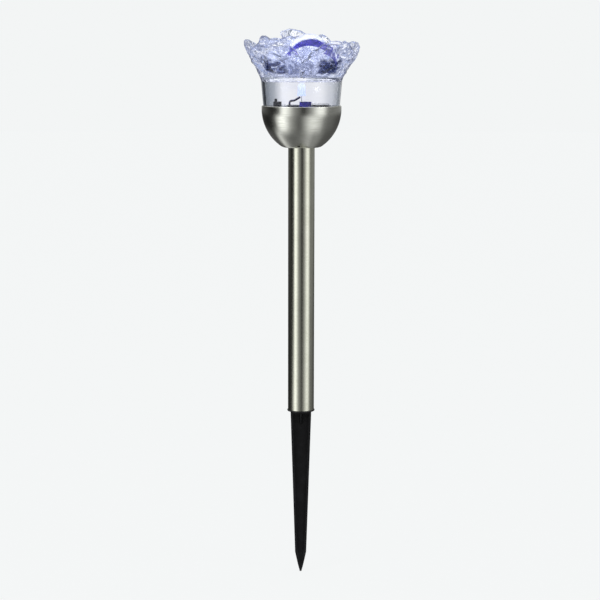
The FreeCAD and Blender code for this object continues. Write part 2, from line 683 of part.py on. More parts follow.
def negative_contact():
    """Steel tab with a coil spring of three turns that bears on the cell's flat end."""
    x = -(BAY_HALF + CONTACT_T / 2)
    width, tab_foot = NEGATIVE_TAB[0], CELL_Z - NEGATIVE_TAB[1]
    plate = block((CONTACT_T, width, BOARD_Z - tab_foot), x, 0, tab_foot)
    pitch = (SPRING_LENGTH - 2 * SPRING_WIRE_R) / SPRING_TURNS
    helix = Part.makeHelix(pitch, pitch * SPRING_TURNS, SPRING_R)
    section = Part.Wire(Part.makeCircle(SPRING_WIRE_R, V(SPRING_R, 0, 0), V(0, 1, 0)))
    coil = Part.Wire(helix).makePipeShell([section], True, True)
    coil.rotate(V(0, 0, 0), V(0, 1, 0), 90)
    coil.translate(V(-BAY_HALF + SPRING_WIRE_R * 0.9, 0, CELL_Z))
    return fused([plate, coil])


def circuit_board():
    board = cylinder(BOARD_R, BOARD_T, BOARD_Z)
    for side in (-1, 1):
        hole = block((2 * LEG_SIDE, 2 * LEG_SIDE, BOARD_T), 0, side * LEG_PITCH / 2, BOARD_Z)
        board = board.cut(hole)
    for x, y in screw_spots():
        board = board.cut(cylinder(BOSS_R + EASY_FIT, BOARD_T, BOARD_Z, x, y))
    return board


def driver_chip():
    """Small driver package lying on the board, with four legs bent down to it."""
    top_z = BOARD_Z + BOARD_T
    body = block(CHIP_SIZE, CHIP_AT[0], CHIP_AT[1], top_z + CHIP_LIFT)
    side_y = CHIP_AT[1] - CHIP_SIZE[1] / 2
    arm_z = top_z + 2 * CHIP_LIFT
    arm = (CHIP_LEG_WIDTH, CHIP_LEG_REACH + CHIP_LEG_T, CHIP_LEG_T)
    toe = (CHIP_LEG_WIDTH, CHIP_LEG_WIDTH, arm_z + CHIP_LEG_T - top_z)
    legs = []
    for i in range(CHIP_LEGS):
        x = CHIP_AT[0] + (i - (CHIP_LEGS - 1) / 2) * CHIP_LEG_PITCH
        legs.append(block(arm, x, side_y - arm[1] / 2 + CHIP_LEG_T, arm_z))
        legs.append(block(toe, x, side_y - CHIP_LEG_REACH + toe[1] / 2, top_z))
    return fused([body] + legs)


def inductor():
    """Axial choke with its two wires bent down to the board."""
    top_z = BOARD_Z + BOARD_T
    x0, y0 = INDUCTOR_AT
    start = V(x0 - INDUCTOR_LENGTH / 2, y0, top_z + INDUCTOR_R)
    body = Part.makeCylinder(INDUCTOR_R, INDUCTOR_LENGTH, start, V(1, 0, 0))
    wires = []
    for side in (-1, 1):
        end_x = x0 + side * (INDUCTOR_LENGTH / 2 + INDUCTOR_WIRE_REACH)
        start_x = x0 + side * (INDUCTOR_LENGTH / 2 - INDUCTOR_WIRE_R)
        axis_z = top_z + INDUCTOR_R
        points = [(start_x, y0, axis_z), (end_x, y0, axis_z), (end_x, y0, top_z)]
        wires.append(swept_wire(points, (2 * INDUCTOR_WIRE_R,), INDUCTOR_WIRE_R))
    return fused([body] + wires)


def led_bulb():
    """Clear five-millimetre lamp body with its collar and dome."""
    dome_z = LED_Z + LED_HEIGHT - LED_R
    body = cylinder(LED_R, LED_HEIGHT - LED_R, LED_Z)
    dome = Part.makeSphere(LED_R, V(0, 0, dome_z), UP)
    collar = cylinder(LED_COLLAR_R, LED_COLLAR_T, LED_Z)
    return fused([body, dome.common(cylinder(LED_R, LED_R, dome_z)), collar])


def led_legs():
    size = (LEG_SIDE, LEG_SIDE, LED_Z - BOARD_Z)
    return Part.makeCompound([block(size, 0, side * LEG_PITCH / 2, BOARD_Z) for side in (-1, 1)])


def led_holder():
    """Block on the deck that holds the lamp's legs upright."""
    body = block(LED_BLOCK, LED_BLOCK_X, 0, DECK_TOP_Z)
    width = LEG_SIDE + 2 * SCREW_HOLE_GAP
    for side in (-1, 1):
        body = body.cut(block((width, width, LED_BLOCK[2]), 0, side * LEG_PITCH / 2, DECK_TOP_Z))
    return body


def solar_board():
    return block((PANEL_WIDTH, PANEL_LENGTH, PANEL_BOARD_T), PANEL_X, 0, DECK_TOP_Z)


def solar_strips():
    """Four silicon strips side by side on the panel's board."""
    room = PANEL_LENGTH - 2 * PANEL_BORDER
    width = (room - (STRIP_COUNT - 1) * STRIP_GAP) / STRIP_COUNT
    size = (PANEL_WIDTH - 2 * PANEL_BORDER, width, CELL_STRIP_T)
    first_y = (width - room) / 2
    places = [first_y + i * (width + STRIP_GAP) for i in range(STRIP_COUNT)]
    return Part.makeCompound([block(size, PANEL_X, y, DECK_TOP_Z + PANEL_BOARD_T) for y in places])


def panel_resin():
    """Clear resin poured over the strips."""
    slab = block((PANEL_WIDTH, PANEL_LENGTH, RESIN_T), PANEL_X, 0, DECK_TOP_Z + PANEL_BOARD_T)
    upright = [e for e in slab.Edges if abs(e.BoundBox.ZLength - RESIN_T) < 1e-6]
    slab = slab.makeFillet(PANEL_BORDER / 2, upright)
    return slab.cut(solar_strips())


def pin_spots(name):
    """Where each item's pins pass through the deck to the board below."""
    if name == "switch":
        return [(SWITCH_AT[0], SWITCH_AT[1] + i * SWITCH_PIN_PITCH) for i in (-1, 0, 1)]
    x = PANEL_X - 0.3 * PANEL_WIDTH if name == "panel" else TERMINAL_X
    return [(x, -LEAD_SPREAD), (x, LEAD_SPREAD)]


def pins(name):
    """Solid pins from the underside of an item on the deck down to the circuit board."""
    foot_z = BOARD_Z + BOARD_T
    length = DECK_TOP_Z - foot_z
    return Part.makeCompound([cylinder(PIN_R, length, foot_z, x, y) for x, y in pin_spots(name)])


def terminal_board():
    """Strip of board on the deck where the lamp's leads are soldered."""
    return block(TERMINAL_BOARD, TERMINAL_X, 0, DECK_TOP_Z)


def switch_body():
    """Slide switch on the deck, with a slot that its lever runs in."""
    body = block(SWITCH_BODY, SWITCH_AT[0], SWITCH_AT[1], DECK_TOP_Z)
    slot = (LEVER[0] + EASY_FIT, LEVER[1] + SWITCH_TRAVEL + EASY_FIT, SLOT_DEPTH)
    z = DECK_TOP_Z + SWITCH_BODY[2] - SLOT_DEPTH
    return body.cut(block(slot, SWITCH_AT[0] + LEVER_X, SWITCH_AT[1], z))


def switch_lever():
    """The lever at its off end, which slides towards +Y."""
    y = SWITCH_AT[1] - SWITCH_TRAVEL / 2
    z = DECK_TOP_Z + SWITCH_BODY[2] - SLOT_DEPTH + SCREW_HOLE_GAP
    lever = block((LEVER[0], LEVER[1], LEVER[2] + SLOT_DEPTH), SWITCH_AT[0] + LEVER_X, y, z)
    top = [e for e in lever.Edges if e.BoundBox.ZMin > z + LEVER[2]]
    return lever.makeFillet(LEVER_EDGE, top)


def lamp_lead(side):
    """Insulated lead that stands on the terminal board and curls over to one of the lamp's legs."""
    foot_x = TERMINAL_X - TERMINAL_BOARD[0] / 2 + 2 * LEAD_R
    foot_z = DECK_TOP_Z + TERMINAL_BOARD[2]
    leg_x = -LEG_SIDE / 2 - LEAD_R
    points = [
        (foot_x, side * LEAD_SPREAD, foot_z),
        (foot_x, side * LEAD_SPREAD, foot_z + LEAD_RISE),
        (foot_x + LEAD_RUN, side * 0.8 * LEAD_SPREAD, foot_z + LEAD_RISE + 0.4),
        (leg_x, side * LEG_PITCH / 2, LED_Z - 0.8),
    ]
    return swept_wire(points, LEAD_BENDS, LEAD_R)


NODES = {
    "ground_spike": ground_spike,
    "pole_tube": pole_tube,
    "neck_o_ring": neck_o_ring,
    "neck_plug": neck_plug,
    "neck_washer": neck_washer,
    "neck_screw": neck_screw,
    "steel_cup": steel_cup,
    "module_housing": module_housing,
    "battery_door": battery_door,
    "door_screw": lambda: screw(DOOR_SCREW_R, DOOR_SCREW_LENGTH, 0, DOOR_EAR_Y, HOUSING_Z, up=False),
    "battery_cell": battery_cell,
    "battery_sleeve": battery_sleeve,
    "positive_contact": positive_contact,
    "negative_contact": negative_contact,
    "circuit_board": circuit_board,
    "driver_chip": driver_chip,
    "inductor": inductor,
    "lamp_deck": lamp_deck,
    "gasket_ring": gasket_ring,
    "deck_screws": lambda: Part.makeCompound(
        [screw(DECK_SCREW_R, DECK_SCREW_LENGTH, x, y, DECK_TOP_Z) for x, y in screw_spots()]
    ),
    "led_holder": led_holder,
    "led_legs": led_legs,
    "led_bulb": led_bulb,
    "lamp_lead_front": lambda: lamp_lead(-1),
    "lamp_lead_rear": lambda: lamp_lead(1),
    "terminal_board": terminal_board,
    "terminal_pins": lambda: pins("terminal"),
    "panel_pins": lambda: pins("panel"),
    "switch_pins": lambda: pins("switch"),
    "solar_board": solar_board,
    "solar_strips": solar_strips,
    "panel_resin": panel_resin,
    "switch_body": switch_body,
    "switch_lever": switch_lever,
    "flower_cover": flower_cover,
    "middle_petals": middle_petals,
    "rose_heart": rose_heart,
}

os.makedirs("parts", exist_ok=True)
for name, build in NODES.items():
    shape = build()
    print(f"{name:20s} valid {shape.isValid()} solids {len(shape.Solids)} volume {shape.Volume:.1f}")
    shape.exportStep(f"parts/{name}.step")
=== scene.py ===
import math

import bmesh
import bpy
from mathutils import Matrix, Quaternion, Vector


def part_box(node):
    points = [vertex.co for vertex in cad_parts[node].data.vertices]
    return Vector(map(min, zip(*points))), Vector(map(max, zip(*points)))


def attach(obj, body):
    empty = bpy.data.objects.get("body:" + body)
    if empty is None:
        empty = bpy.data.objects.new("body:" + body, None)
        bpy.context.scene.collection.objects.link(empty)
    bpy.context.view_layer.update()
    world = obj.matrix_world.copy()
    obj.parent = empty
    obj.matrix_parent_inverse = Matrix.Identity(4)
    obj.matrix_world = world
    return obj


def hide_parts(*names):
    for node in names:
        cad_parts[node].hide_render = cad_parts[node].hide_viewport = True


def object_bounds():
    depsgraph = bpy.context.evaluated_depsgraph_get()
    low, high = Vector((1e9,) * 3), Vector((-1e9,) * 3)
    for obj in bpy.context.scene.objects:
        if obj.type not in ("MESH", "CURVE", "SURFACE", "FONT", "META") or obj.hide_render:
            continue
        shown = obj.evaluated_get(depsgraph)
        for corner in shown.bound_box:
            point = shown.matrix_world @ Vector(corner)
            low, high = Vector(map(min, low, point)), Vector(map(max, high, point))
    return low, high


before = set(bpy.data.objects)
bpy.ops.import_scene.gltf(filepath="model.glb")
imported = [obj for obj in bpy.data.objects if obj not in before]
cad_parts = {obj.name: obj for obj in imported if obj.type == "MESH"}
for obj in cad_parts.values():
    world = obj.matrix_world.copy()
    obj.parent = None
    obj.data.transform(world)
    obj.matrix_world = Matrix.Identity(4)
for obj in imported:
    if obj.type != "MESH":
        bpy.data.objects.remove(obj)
cad_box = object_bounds()

# ---------------------------------------------------------------------------
# Ground spike: one black polypropylene moulding. Two edge flanges and a web run down to the
# point, a round flange stops it at the ground, and a hollow plug above fills the pole's foot.
# ---------------------------------------------------------------------------
mm = 0.001
spike_low, spike_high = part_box("ground_spike")
SPIKE_TOP = (14.2 * mm, 11.0 * mm)
SPIKE_LOW = (7.8 * mm, 6.4 * mm)
POINT_LENGTH = 15.0 * mm
PAD_LENGTH = 1.6 * mm
EDGE_FLANGE = 1.5 * mm
WEB_HALF = 1.1 * mm
RIB_LENGTH = 9.5 * mm
FLANGE_R = spike_high.x
FLANGE_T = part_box("pole_tube")[0].z
PLUG_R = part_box("neck_plug")[1].x
PLUG_WALL = 1.8 * mm
PLUG_CHAMFER = 1.0 * mm
FLANGE_FOOT_ROUND = 0.4 * mm
FLANGE_TOP_ROUND = 0.6 * mm


def put(tree, kind, inputs=None, **settings):
    """Adds a node to a tree. inputs gives each socket a value, or the socket that feeds it."""
    added = tree.nodes.new(kind)
    for name, value in settings.items():
        setattr(added, name, value)
    for name, value in (inputs or {}).items():
        if isinstance(value, bpy.types.NodeSocket):
            tree.links.new(value, added.inputs[name])
        else:
            added.inputs[name].default_value = value
    return added


def chained(tree, operation, values):
    """The result of Math nodes in a row, each of which takes the next value."""
    result = values[0]
    for value in values[1:]:
        result = put(tree, "ShaderNodeMath", {0: result, 1: value}, operation=operation).outputs[0]
    return result


def plus(tree, *values):
    """The sum of the values."""
    return chained(tree, "ADD", values)


def minus(tree, *values):
    """The first value less the others."""
    return chained(tree, "SUBTRACT", values)


def times(tree, *values):
    """The product of the values."""
    return chained(tree, "MULTIPLY", values)


def bearing(tree, across, along):
    """The angle of a direction, in radians, from its parts across and along the zero line."""
    return chained(tree, "ARCTAN2", (across, along))


def noise(tree, place, scale, detail, **more):
    """Soft noise between 0 and 1, in about so many waves to the metre."""
    inputs = {"Vector": place, "Scale": scale, "Detail": detail, **more}
    return put(tree, "ShaderNodeTexNoise", inputs).outputs["Fac"]


def between(tree, value, low, high, new_low=0.0, new_high=1.0):
    """A value spread from one range to another, eased at both ends and clamped."""
    return put(tree, "ShaderNodeMapRange", {
        "Value": value, "From Min": low, "From Max": high, "To Min": new_low, "To Max": new_high,
    }, interpolation_type="SMOOTHSTEP").outputs["Result"]


def mixed(tree, factor, first, second):
    """A colour between two colours."""
    mix = put(tree, "ShaderNodeMix", data_type="RGBA")
    for index, value in ((0, factor), (6, first), (7, second)):
        if isinstance(value, bpy.types.NodeSocket):
            tree.links.new(value, mix.inputs[index])
        else:
            mix.inputs[index].default_value = value
    return mix.outputs[2]


def new_group(name, kind, inputs, outputs):
    """A node group with named sockets, with its input node's sockets and its output node."""
    tree = bpy.data.node_groups.new(name, kind)
    for label, socket_type, value in inputs:
        kind_of_socket = "NodeSocket" + socket_type
        socket = tree.interface.new_socket(label, in_out="INPUT", socket_type=kind_of_socket)
        if value is not None:
            socket.default_value = value
    for label, socket_type in outputs:
        tree.interface.new_socket(label, in_out="OUTPUT", socket_type="NodeSocket" + socket_type)
    return tree, tree.nodes.new("NodeGroupInput").outputs, tree.nodes.new("NodeGroupOutput")


def surface(name, effect, settings, relief=0.1, **constants):
    """A Principled material whose colour, roughness and relief, in mm, come from a shared effect."""
    made = bpy.data.materials.new(name)
    made.use_nodes = True
    tree = made.node_tree
    shader = tree.nodes["Principled BSDF"]
    group = put(tree, "ShaderNodeGroup", node_tree=effect)
    tree.links.new(put(tree, "ShaderNodeTexCoord").outputs["Object"], group.inputs["Place"])
    for label, value in settings.items():
        group.inputs[label].default_value = value
    for output in group.outputs:
        if output.name == "Height":
            bump = put(tree, "ShaderNodeBump", {"Height": output, "Distance": relief * mm})
            tree.links.new(bump.outputs["Normal"], shader.inputs["Normal"])
        else:
            tree.links.new(output, shader.inputs[output.name])
    for label, value in constants.items():
        shader.inputs[label.replace("_", " ")].default_value = value
    return made


def new_object(name, mesh, material):
    """A named object at the origin that holds the mesh in one material."""
    mesh.materials.clear()
    mesh.materials.append(material)
    thing = bpy.data.objects.new(name, mesh)
    bpy.context.scene.collection.objects.link(thing)
    return thing


def object_from_bmesh(name, bm, material):
    """Ends a bmesh as an object, its doubles merged and its faces turned outwards."""
    bmesh.ops.remove_doubles(bm, verts=bm.verts, dist=1e-7)
    bmesh.ops.recalc_face_normals(bm, faces=bm.faces)
    mesh = bpy.data.meshes.new(name)
    bm.to_mesh(mesh)
    bm.free()
    mesh.shade_smooth()
    mesh.set_sharp_from_angle(angle=math.radians(32))
    return new_object(name, mesh, material)


def applied(thing):
    """The same object, with its modifiers turned into plain mesh."""
    graph = bpy.context.evaluated_depsgraph_get()
    mesh = bpy.data.meshes.new_from_object(thing.evaluated_get(graph))
    thing.modifiers.clear()
    thing.data = mesh
    return thing


def rounded(thing, width, segments=3, angle=28):
    """Rounds every edge sharper than the angle, in degrees, and shades the rest smooth."""
    bevel = thing.modifiers.new("rounded edges", "BEVEL")
    bevel.width = width
    bevel.segments = segments
    bevel.limit_method = "ANGLE"
    bevel.angle_limit = math.radians(angle)
    thing.modifiers.new("flat faces", "WEIGHTED_NORMAL").keep_sharp = False
    return applied(thing)


def lathe(name, outline, material, steps=192):
    """A closed body turned round Z from a closed outline of (radius, height) points."""
    bm = bmesh.new()
    rings = []
    for i in range(steps):
        a = 2 * math.pi * i / steps
        rings.append([bm.verts.new((r * math.cos(a), r * math.sin(a), z)) for r, z in outline])
    for here, there in zip(rings, rings[1:] + rings[:1]):
        for j in range(len(outline)):
            k = (j + 1) % len(outline)
            if outline[j][0] > 0 or outline[k][0] > 0:
                bm.faces.new((here[j], there[j], there[k], here[k]))
    bmesh.ops.remove_doubles(bm, verts=bm.verts, dist=1e-7)
    bmesh.ops.dissolve_degenerate(bm, edges=bm.edges, dist=1e-8)
    bmesh.ops.delete(bm, geom=[e for e in bm.edges if e.is_wire], context="EDGES")
    thing = object_from_bmesh(name, bm, material)
    thing.modifiers.new("flat faces", "WEIGHTED_NORMAL").keep_sharp = True
    return applied(thing)


def arc(centre_r, centre_z, radius, start, end, steps=6):
    """Points of an arc in an outline, from one angle to another in degrees."""
    angles = [math.radians(start + (end - start) * i / steps) for i in range(steps + 1)]
    return [(centre_r + radius * math.cos(a), centre_z + radius * math.sin(a)) for a in angles]


def box_into(bm, low, high):
    """Adds a closed box between two corners to a bmesh."""
    made = bmesh.ops.create_cube(bm, size=1.0)["verts"]
    size = Vector(high) - Vector(low)
    for vert in made:
        vert.co = Vector(low) + Vector((c + 0.5) * s for c, s in zip(vert.co, size))


def moulded_grain():
    """Fine tool grain of a plastic moulding, with faint rubbed patches."""
    tree, given, out = new_group(
        "moulded grain", "ShaderNodeTree",
        [("Place", "Vector", None), ("Color", "Color", (0.5, 0.5, 0.5, 1)),
         ("Rubbed Color", "Color", (0.6, 0.6, 0.6, 1)), ("Gloss", "Float", 0.5),
         ("Grain Scale", "Float", 2500.0)],
        [("Base Color", "Color"), ("Roughness", "Float"), ("Height", "Float")])
    grain = noise(tree, given["Place"], given["Grain Scale"], 3.0)
    cloud = noise(tree, given["Place"], 140.0, 5.0)
    rubbed = between(tree, cloud, 0.42, 0.75)
    rough = plus(tree, given["Gloss"], between(tree, grain, 0.3, 0.7, -0.06, 0.08))
    tree.links.new(mixed(tree, rubbed, given["Color"], given["Rubbed Color"]), out.inputs["Base Color"])
    tree.links.new(rough, out.inputs["Roughness"])
    tree.links.new(grain, out.inputs["Height"])
    return tree


def spike_section(z, width, depth, flange, web_half):
    """The H of the spike's section at a height, as twelve points."""
    w, d, inner = width / 2, depth / 2, width / 2 - flange
    half = [(-w, -d), (-inner, -d), (-inner, -web_half), (inner, -web_half), (inner, -d), (w, -d)]
    return [Vector((x, y, z)) for x, y in half] + [Vector((-x, -y, z)) for x, y in half]


grain_effect = moulded_grain()


def moulded(name, colour, rubbed, gloss, relief, grain=2500.0, **constants):
    """A moulded, painted or lacquered finish: colours, roughness, relief in mm, grain."""
    return surface(name, grain_effect, {
        "Color": (*colour, 1), "Rubbed Color": (*rubbed, 1), "Gloss": gloss, "Grain Scale": grain},
        relief=relief, **constants)


spike_plastic = moulded(
    "black spike plastic", (0.0028, 0.003, 0.0038), (0.006, 0.0065, 0.008), 0.42, 0.008,
    Specular_IOR_Level=0.28)

shoulder_z = spike_low.z + POINT_LENGTH
# Height, width, depth, flange and half web of each section, from the ground down.
section_sizes = [
    (-PAD_LENGTH, *SPIKE_TOP, EDGE_FLANGE, WEB_HALF),
    (shoulder_z + 3 * mm, 8.0 * mm, 6.5 * mm, EDGE_FLANGE, WEB_HALF),
    (shoulder_z, *SPIKE_LOW, 2.0 * mm, 1.5 * mm),
    (shoulder_z - 9 * mm, 4.1 * mm, 3.4 * mm, 1.3 * mm, 1.2 * mm),
    (spike_low.z, 1.2 * mm, 1.2 * mm, 0.45 * mm, 0.5 * mm),
]
bm = bmesh.new()
sections = [[bm.verts.new(p) for p in spike_section(*size)] for size in section_sizes]
for upper, lower in zip(sections, sections[1:]):
    for i in range(12):
        j = (i + 1) % 12
        bm.faces.new((upper[i], lower[i], lower[j], upper[j]))
bm.faces.new(sections[0])
bm.faces.new(sections[-1][::-1])
half_w, half_d = SPIKE_TOP[0] / 2, SPIKE_TOP[1] / 2
box_into(bm, (-half_w, -half_d, -PAD_LENGTH - 0.1 * mm), (half_w, half_d, 0.1 * mm))
for side in (-1, 1):
    made = bmesh.ops.create_cone(
        bm, cap_ends=True, segments=20, radius1=0.7 * mm, radius2=1.1 * mm, depth=RIB_LENGTH)["verts"]
    for vert in made:
        down = 0.5 - vert.co.z / RIB_LENGTH
        vert.co.z -= RIB_LENGTH / 2
        vert.co.y = vert.co.y * (2.6 - 1.6 * down) + side * (WEB_HALF + (1.2 - 0.9 * down) * mm)
spike_blade = rounded(object_from_bmesh("spike_blade", bm, spike_plastic), 0.3 * mm)
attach(spike_blade, "spike")
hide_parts("ground_spike")

plug_top = spike_high.z
plug_bore_r = PLUG_R - PLUG_WALL
plug_floor_z = FLANGE_T + PLUG_WALL
spike_plug = lathe("spike_plug", [
    (0, 0),
    *arc(FLANGE_R - FLANGE_FOOT_ROUND, FLANGE_FOOT_ROUND, FLANGE_FOOT_ROUND, -90, 0),
    *arc(FLANGE_R - FLANGE_TOP_ROUND, FLANGE_T - FLANGE_TOP_ROUND, FLANGE_TOP_ROUND, 0, 90),
    (PLUG_R, FLANGE_T), (PLUG_R, plug_top - PLUG_CHAMFER), (PLUG_R - PLUG_CHAMFER, plug_top),
    (plug_bore_r, plug_top), (plug_bore_r, plug_floor_z), (0, plug_floor_z)], spike_plastic)
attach(spike_plug, "spike")

# ---------------------------------------------------------------------------
# Pole: thin stainless tube, satin ground round its axis, open at both ends and cut square.
# It stands on the spike's flange and carries the head.
# ---------------------------------------------------------------------------
pole_low, pole_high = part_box("pole_tube")
POLE_R = pole_high.x
POLE_WALL = 0.5 * mm
POLE_LIP = 0.12 * mm


def brushed_lines():
    """Fine scratches round the Z axis, with slow changes of tone and a few longer marks."""
    tree, given, out = new_group(
        "brushed lines", "ShaderNodeTree",
        [("Place", "Vector", None), ("Color", "Color", (0.6, 0.6, 0.6, 1)),
         ("Dark Color", "Color", (0.5, 0.5, 0.5, 1)), ("Satin", "Float", 0.3), ("Lines", "Float", 4000.0)],
        [("Base Color", "Color"), ("Roughness", "Float"), ("Height", "Float")])
    where = put(tree, "ShaderNodeSeparateXYZ", {0: given["Place"]}).outputs
    around = bearing(tree, where["Y"], where["X"])
    fine = put(tree, "ShaderNodeCombineXYZ", {
        "X": times(tree, around, 3.0), "Z": times(tree, where["Z"], given["Lines"])})
    scratches = noise(tree, fine.outputs[0], 1.0, 4.0, Roughness=0.65)
    tone = noise(tree, given["Place"], 90.0, 2.0)
    dark = plus(tree, between(tree, scratches, 0.35, 0.7, 0.0, 0.7), between(tree, tone, 0.3, 0.7, 0.0, 0.3))
    rough = plus(tree, given["Satin"], between(tree, scratches, 0.3, 0.7, -0.04, 0.05))
    tree.links.new(mixed(tree, dark, given["Color"], given["Dark Color"]), out.inputs["Base Color"])
    tree.links.new(rough, out.inputs["Roughness"])
    tree.links.new(scratches, out.inputs["Height"])
    return tree


brushed_effect = brushed_lines()


def brushed(name, colour, dark, satin, lines, relief, **constants):
    """A finish with fine lines: colours, roughness, lines to the metre, relief in mm."""
    return surface(name, brushed_effect, {
        "Color": (*colour, 1), "Dark Color": (*dark, 1), "Satin": satin, "Lines": lines},
        relief=relief, **constants)


pole_steel = brushed(
    "brushed pole steel", (0.68, 0.69, 0.60), (0.54, 0.55, 0.455), 0.19, 2500.0, 0.0006, Metallic=1.0)
pole_bore_r = POLE_R - POLE_WALL
pole = lathe("pole", [
    (POLE_R - POLE_LIP, pole_low.z), (POLE_R, pole_low.z + POLE_LIP), (POLE_R, pole_high.z - POLE_LIP),
    (POLE_R - POLE_LIP, pole_high.z), (pole_bore_r, pole_high.z), (pole_bore_r, pole_low.z)], pole_steel)
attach(pole, "pole")
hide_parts("pole_tube")

# ---------------------------------------------------------------------------
# Cup: a bowl spun from stainless sheet. It has a straight band under a rolled rim, a pressed
# foot that sits on the pole, and one small drain notch at the front of the foot.
# ---------------------------------------------------------------------------
cup_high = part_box("steel_cup")[1]
RIM_R = cup_high.x
RIM_Z = cup_high.z
FOOT_Z = pole_high.z
FOOT_R = 13.4 * mm
FOOT_BEAD_R = 12.0 * mm
CUP_WALL = 0.6 * mm
CUP_BAND = 2.0 * mm
SCREW_HOLE_R = 1.7 * mm
DRAIN_R = 1.25 * mm
DRAIN_X = -1.6 * mm

bowl_centre_z = RIM_Z - CUP_BAND
bowl_drop = bowl_centre_z - FOOT_Z
bowl_run = RIM_R - FOOT_R
bowl_r = (bowl_run**2 + bowl_drop**2) / (2 * bowl_run)
bowl_angle = math.degrees(math.asin(bowl_drop / bowl_r))
bowl_axis_r = RIM_R - bowl_r

cup_steel = brushed(
    "brushed cup steel", (0.67, 0.68, 0.63), (0.54, 0.55, 0.495), 0.20, 2200.0, 0.0008, Metallic=1.0)
floor_z = FOOT_Z + CUP_WALL
cup = lathe("cup", [
    *arc(RIM_R - CUP_WALL / 2, RIM_Z - CUP_WALL / 2, CUP_WALL / 2, 180, 0, 10),
    *arc(bowl_axis_r, bowl_centre_z, bowl_r, 0, -bowl_angle + 1.5, 40),
    (FOOT_R - 0.25 * mm, FOOT_Z - 0.05 * mm),
    *arc(FOOT_BEAD_R, FOOT_Z, 0.4 * mm, 0, -180, 8),
    (PLUG_R, FOOT_Z), (SCREW_HOLE_R, FOOT_Z), (SCREW_HOLE_R, floor_z), (FOOT_R - 1.2 * mm, floor_z),
    *arc(bowl_axis_r, bowl_centre_z, bowl_r - CUP_WALL, -bowl_angle + 3.5, 0, 40)], cup_steel)
bm = bmesh.new()
bmesh.ops.create_cone(
    bm, cap_ends=True, segments=24, radius1=DRAIN_R, radius2=DRAIN_R, depth=6 * mm,
    matrix=Matrix.Translation((DRAIN_X, -FOOT_R, FOOT_Z)) @ Matrix.Rotation(math.pi / 2, 4, "X"))
punch = object_from_bmesh("drain_punch", bm, cup_steel)
cut = cup.modifiers.new("drain notch", "BOOLEAN")
cut.object = punch
cut.solver = "EXACT"
applied(cup)
bpy.data.objects.remove(punch)
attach(cup, "cup")
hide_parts("steel_cup")

# ---------------------------------------------------------------------------
# Neck: a black plug in the pole's top with a rubber ring round it. A washer and a screw
# through the cup's foot hold the cup on the plug.
# ---------------------------------------------------------------------------


def dress(material, *names):
    """Gives CAD nodes a finish."""
    for name in names:
        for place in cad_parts[name].material_slots:
            place.material = material


black_plastic = moulded(
    "black moulded plastic", (0.012, 0.012, 0.014), (0.022, 0.022, 0.025), 0.42, 0.01)
black_rubber = moulded(
    "black rubber", (0.010, 0.010, 0.010), (0.035, 0.033, 0.031), 0.72, 0.02, grain=1400.0)
plated_steel = brushed(
    "plated steel", (0.74, 0.74, 0.72), (0.60, 0.60, 0.58), 0.2, 9000.0, 0.002, Metallic=1.0)
dress(black_plastic, "neck_plug")
dress(black_rubber, "neck_o_ring")
dress(plated_steel, "neck_washer", "neck_screw")

# ---------------------------------------------------------------------------
# Lamp housing: a black tub that fills the cup, with the cell's bay and its door underneath.
# The cell lies between a pressed tab and a coil spring, under the circuit board.
# ---------------------------------------------------------------------------
sleeve_film = moulded("cell sleeve", (0.03, 0.16, 0.07), (0.04, 0.20, 0.09), 0.25, 0.003)
solder_mask = moulded("green solder mask", (0.010, 0.085, 0.035), (0.014, 0.11, 0.045), 0.32, 0.006)
choke_lacquer = moulded("choke lacquer", (0.06, 0.22, 0.13), (0.08, 0.27, 0.17), 0.22, 0.004)
dress(black_plastic, "module_housing", "battery_door", "driver_chip")
dress(plated_steel, "door_screw", "battery_cell", "positive_contact", "negative_contact")
dress(sleeve_film, "battery_sleeve")
dress(solder_mask, "circuit_board")
dress(choke_lacquer, "inductor")

# ---------------------------------------------------------------------------
# Deck: a white top hat that closes the housing and carries what shows under the clear cover.
# A rubber ring lies on its flange, and pan-head screws hold it down.
# ---------------------------------------------------------------------------
white_plastic = moulded("white moulded plastic", (0.80, 0.81, 0.83), (0.74, 0.75, 0.77), 0.30, 0.006)
dress(white_plastic, "lamp_deck")
dress(black_rubber, "gasket_ring")
dress(plated_steel, "deck_screws", "terminal_pins", "panel_pins", "switch_pins", "led_legs")

# ---------------------------------------------------------------------------
# Lamp: a clear five-millimetre LED on stiff legs, held up by a block on the deck. Two stiff
# insulated leads rise from a small terminal board and curl over to its legs. It is lit blue.
# ---------------------------------------------------------------------------
led_low, led_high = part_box("led_bulb")
LED_R = 2.5 * mm
LED_COLLAR_R = led_high.x
LED_COLLAR_T = 1.0 * mm
LED_EDGE = 0.1 * mm
lens = bpy.data.materials.new("lit lamp lens")
lens.use_nodes = True
lens_tree = lens.node_tree
lens_shader = lens_tree.nodes["Principled BSDF"]
lens_point = put(lens_tree, "ShaderNodeTexCoord").outputs["Object"]
lens_height = put(lens_tree, "ShaderNodeSeparateXYZ", {0: lens_point}).outputs["Z"]
brighter = between(lens_tree, lens_height, led_low.z, led_high.z)
lamp_light = mixed(lens_tree, brighter, (0.45, 0.55, 1.0, 1), (0.80, 0.88, 1.0, 1))
lens_tree.links.new(lamp_light, lens_shader.inputs["Emission Color"])
lens_shader.inputs["Emission Strength"].default_value = 0.95
lens_shader.inputs["Base Color"].default_value = (0.6, 0.65, 1.0, 1)
lens_shader.inputs["Roughness"].default_value = 0.1
led = lathe("led_lens", [
    (0, led_low.z), (LED_COLLAR_R - LED_EDGE, led_low.z), (LED_COLLAR_R, led_low.z + LED_EDGE),
    (LED_COLLAR_R, led_low.z + LED_COLLAR_T), (LED_R, led_low.z + LED_COLLAR_T + LED_EDGE),
    *arc(0, led_high.z - LED_R, LED_R, 0, 90, 14)], lens, steps=64)
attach(led, "lamp")
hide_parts("led_bulb")
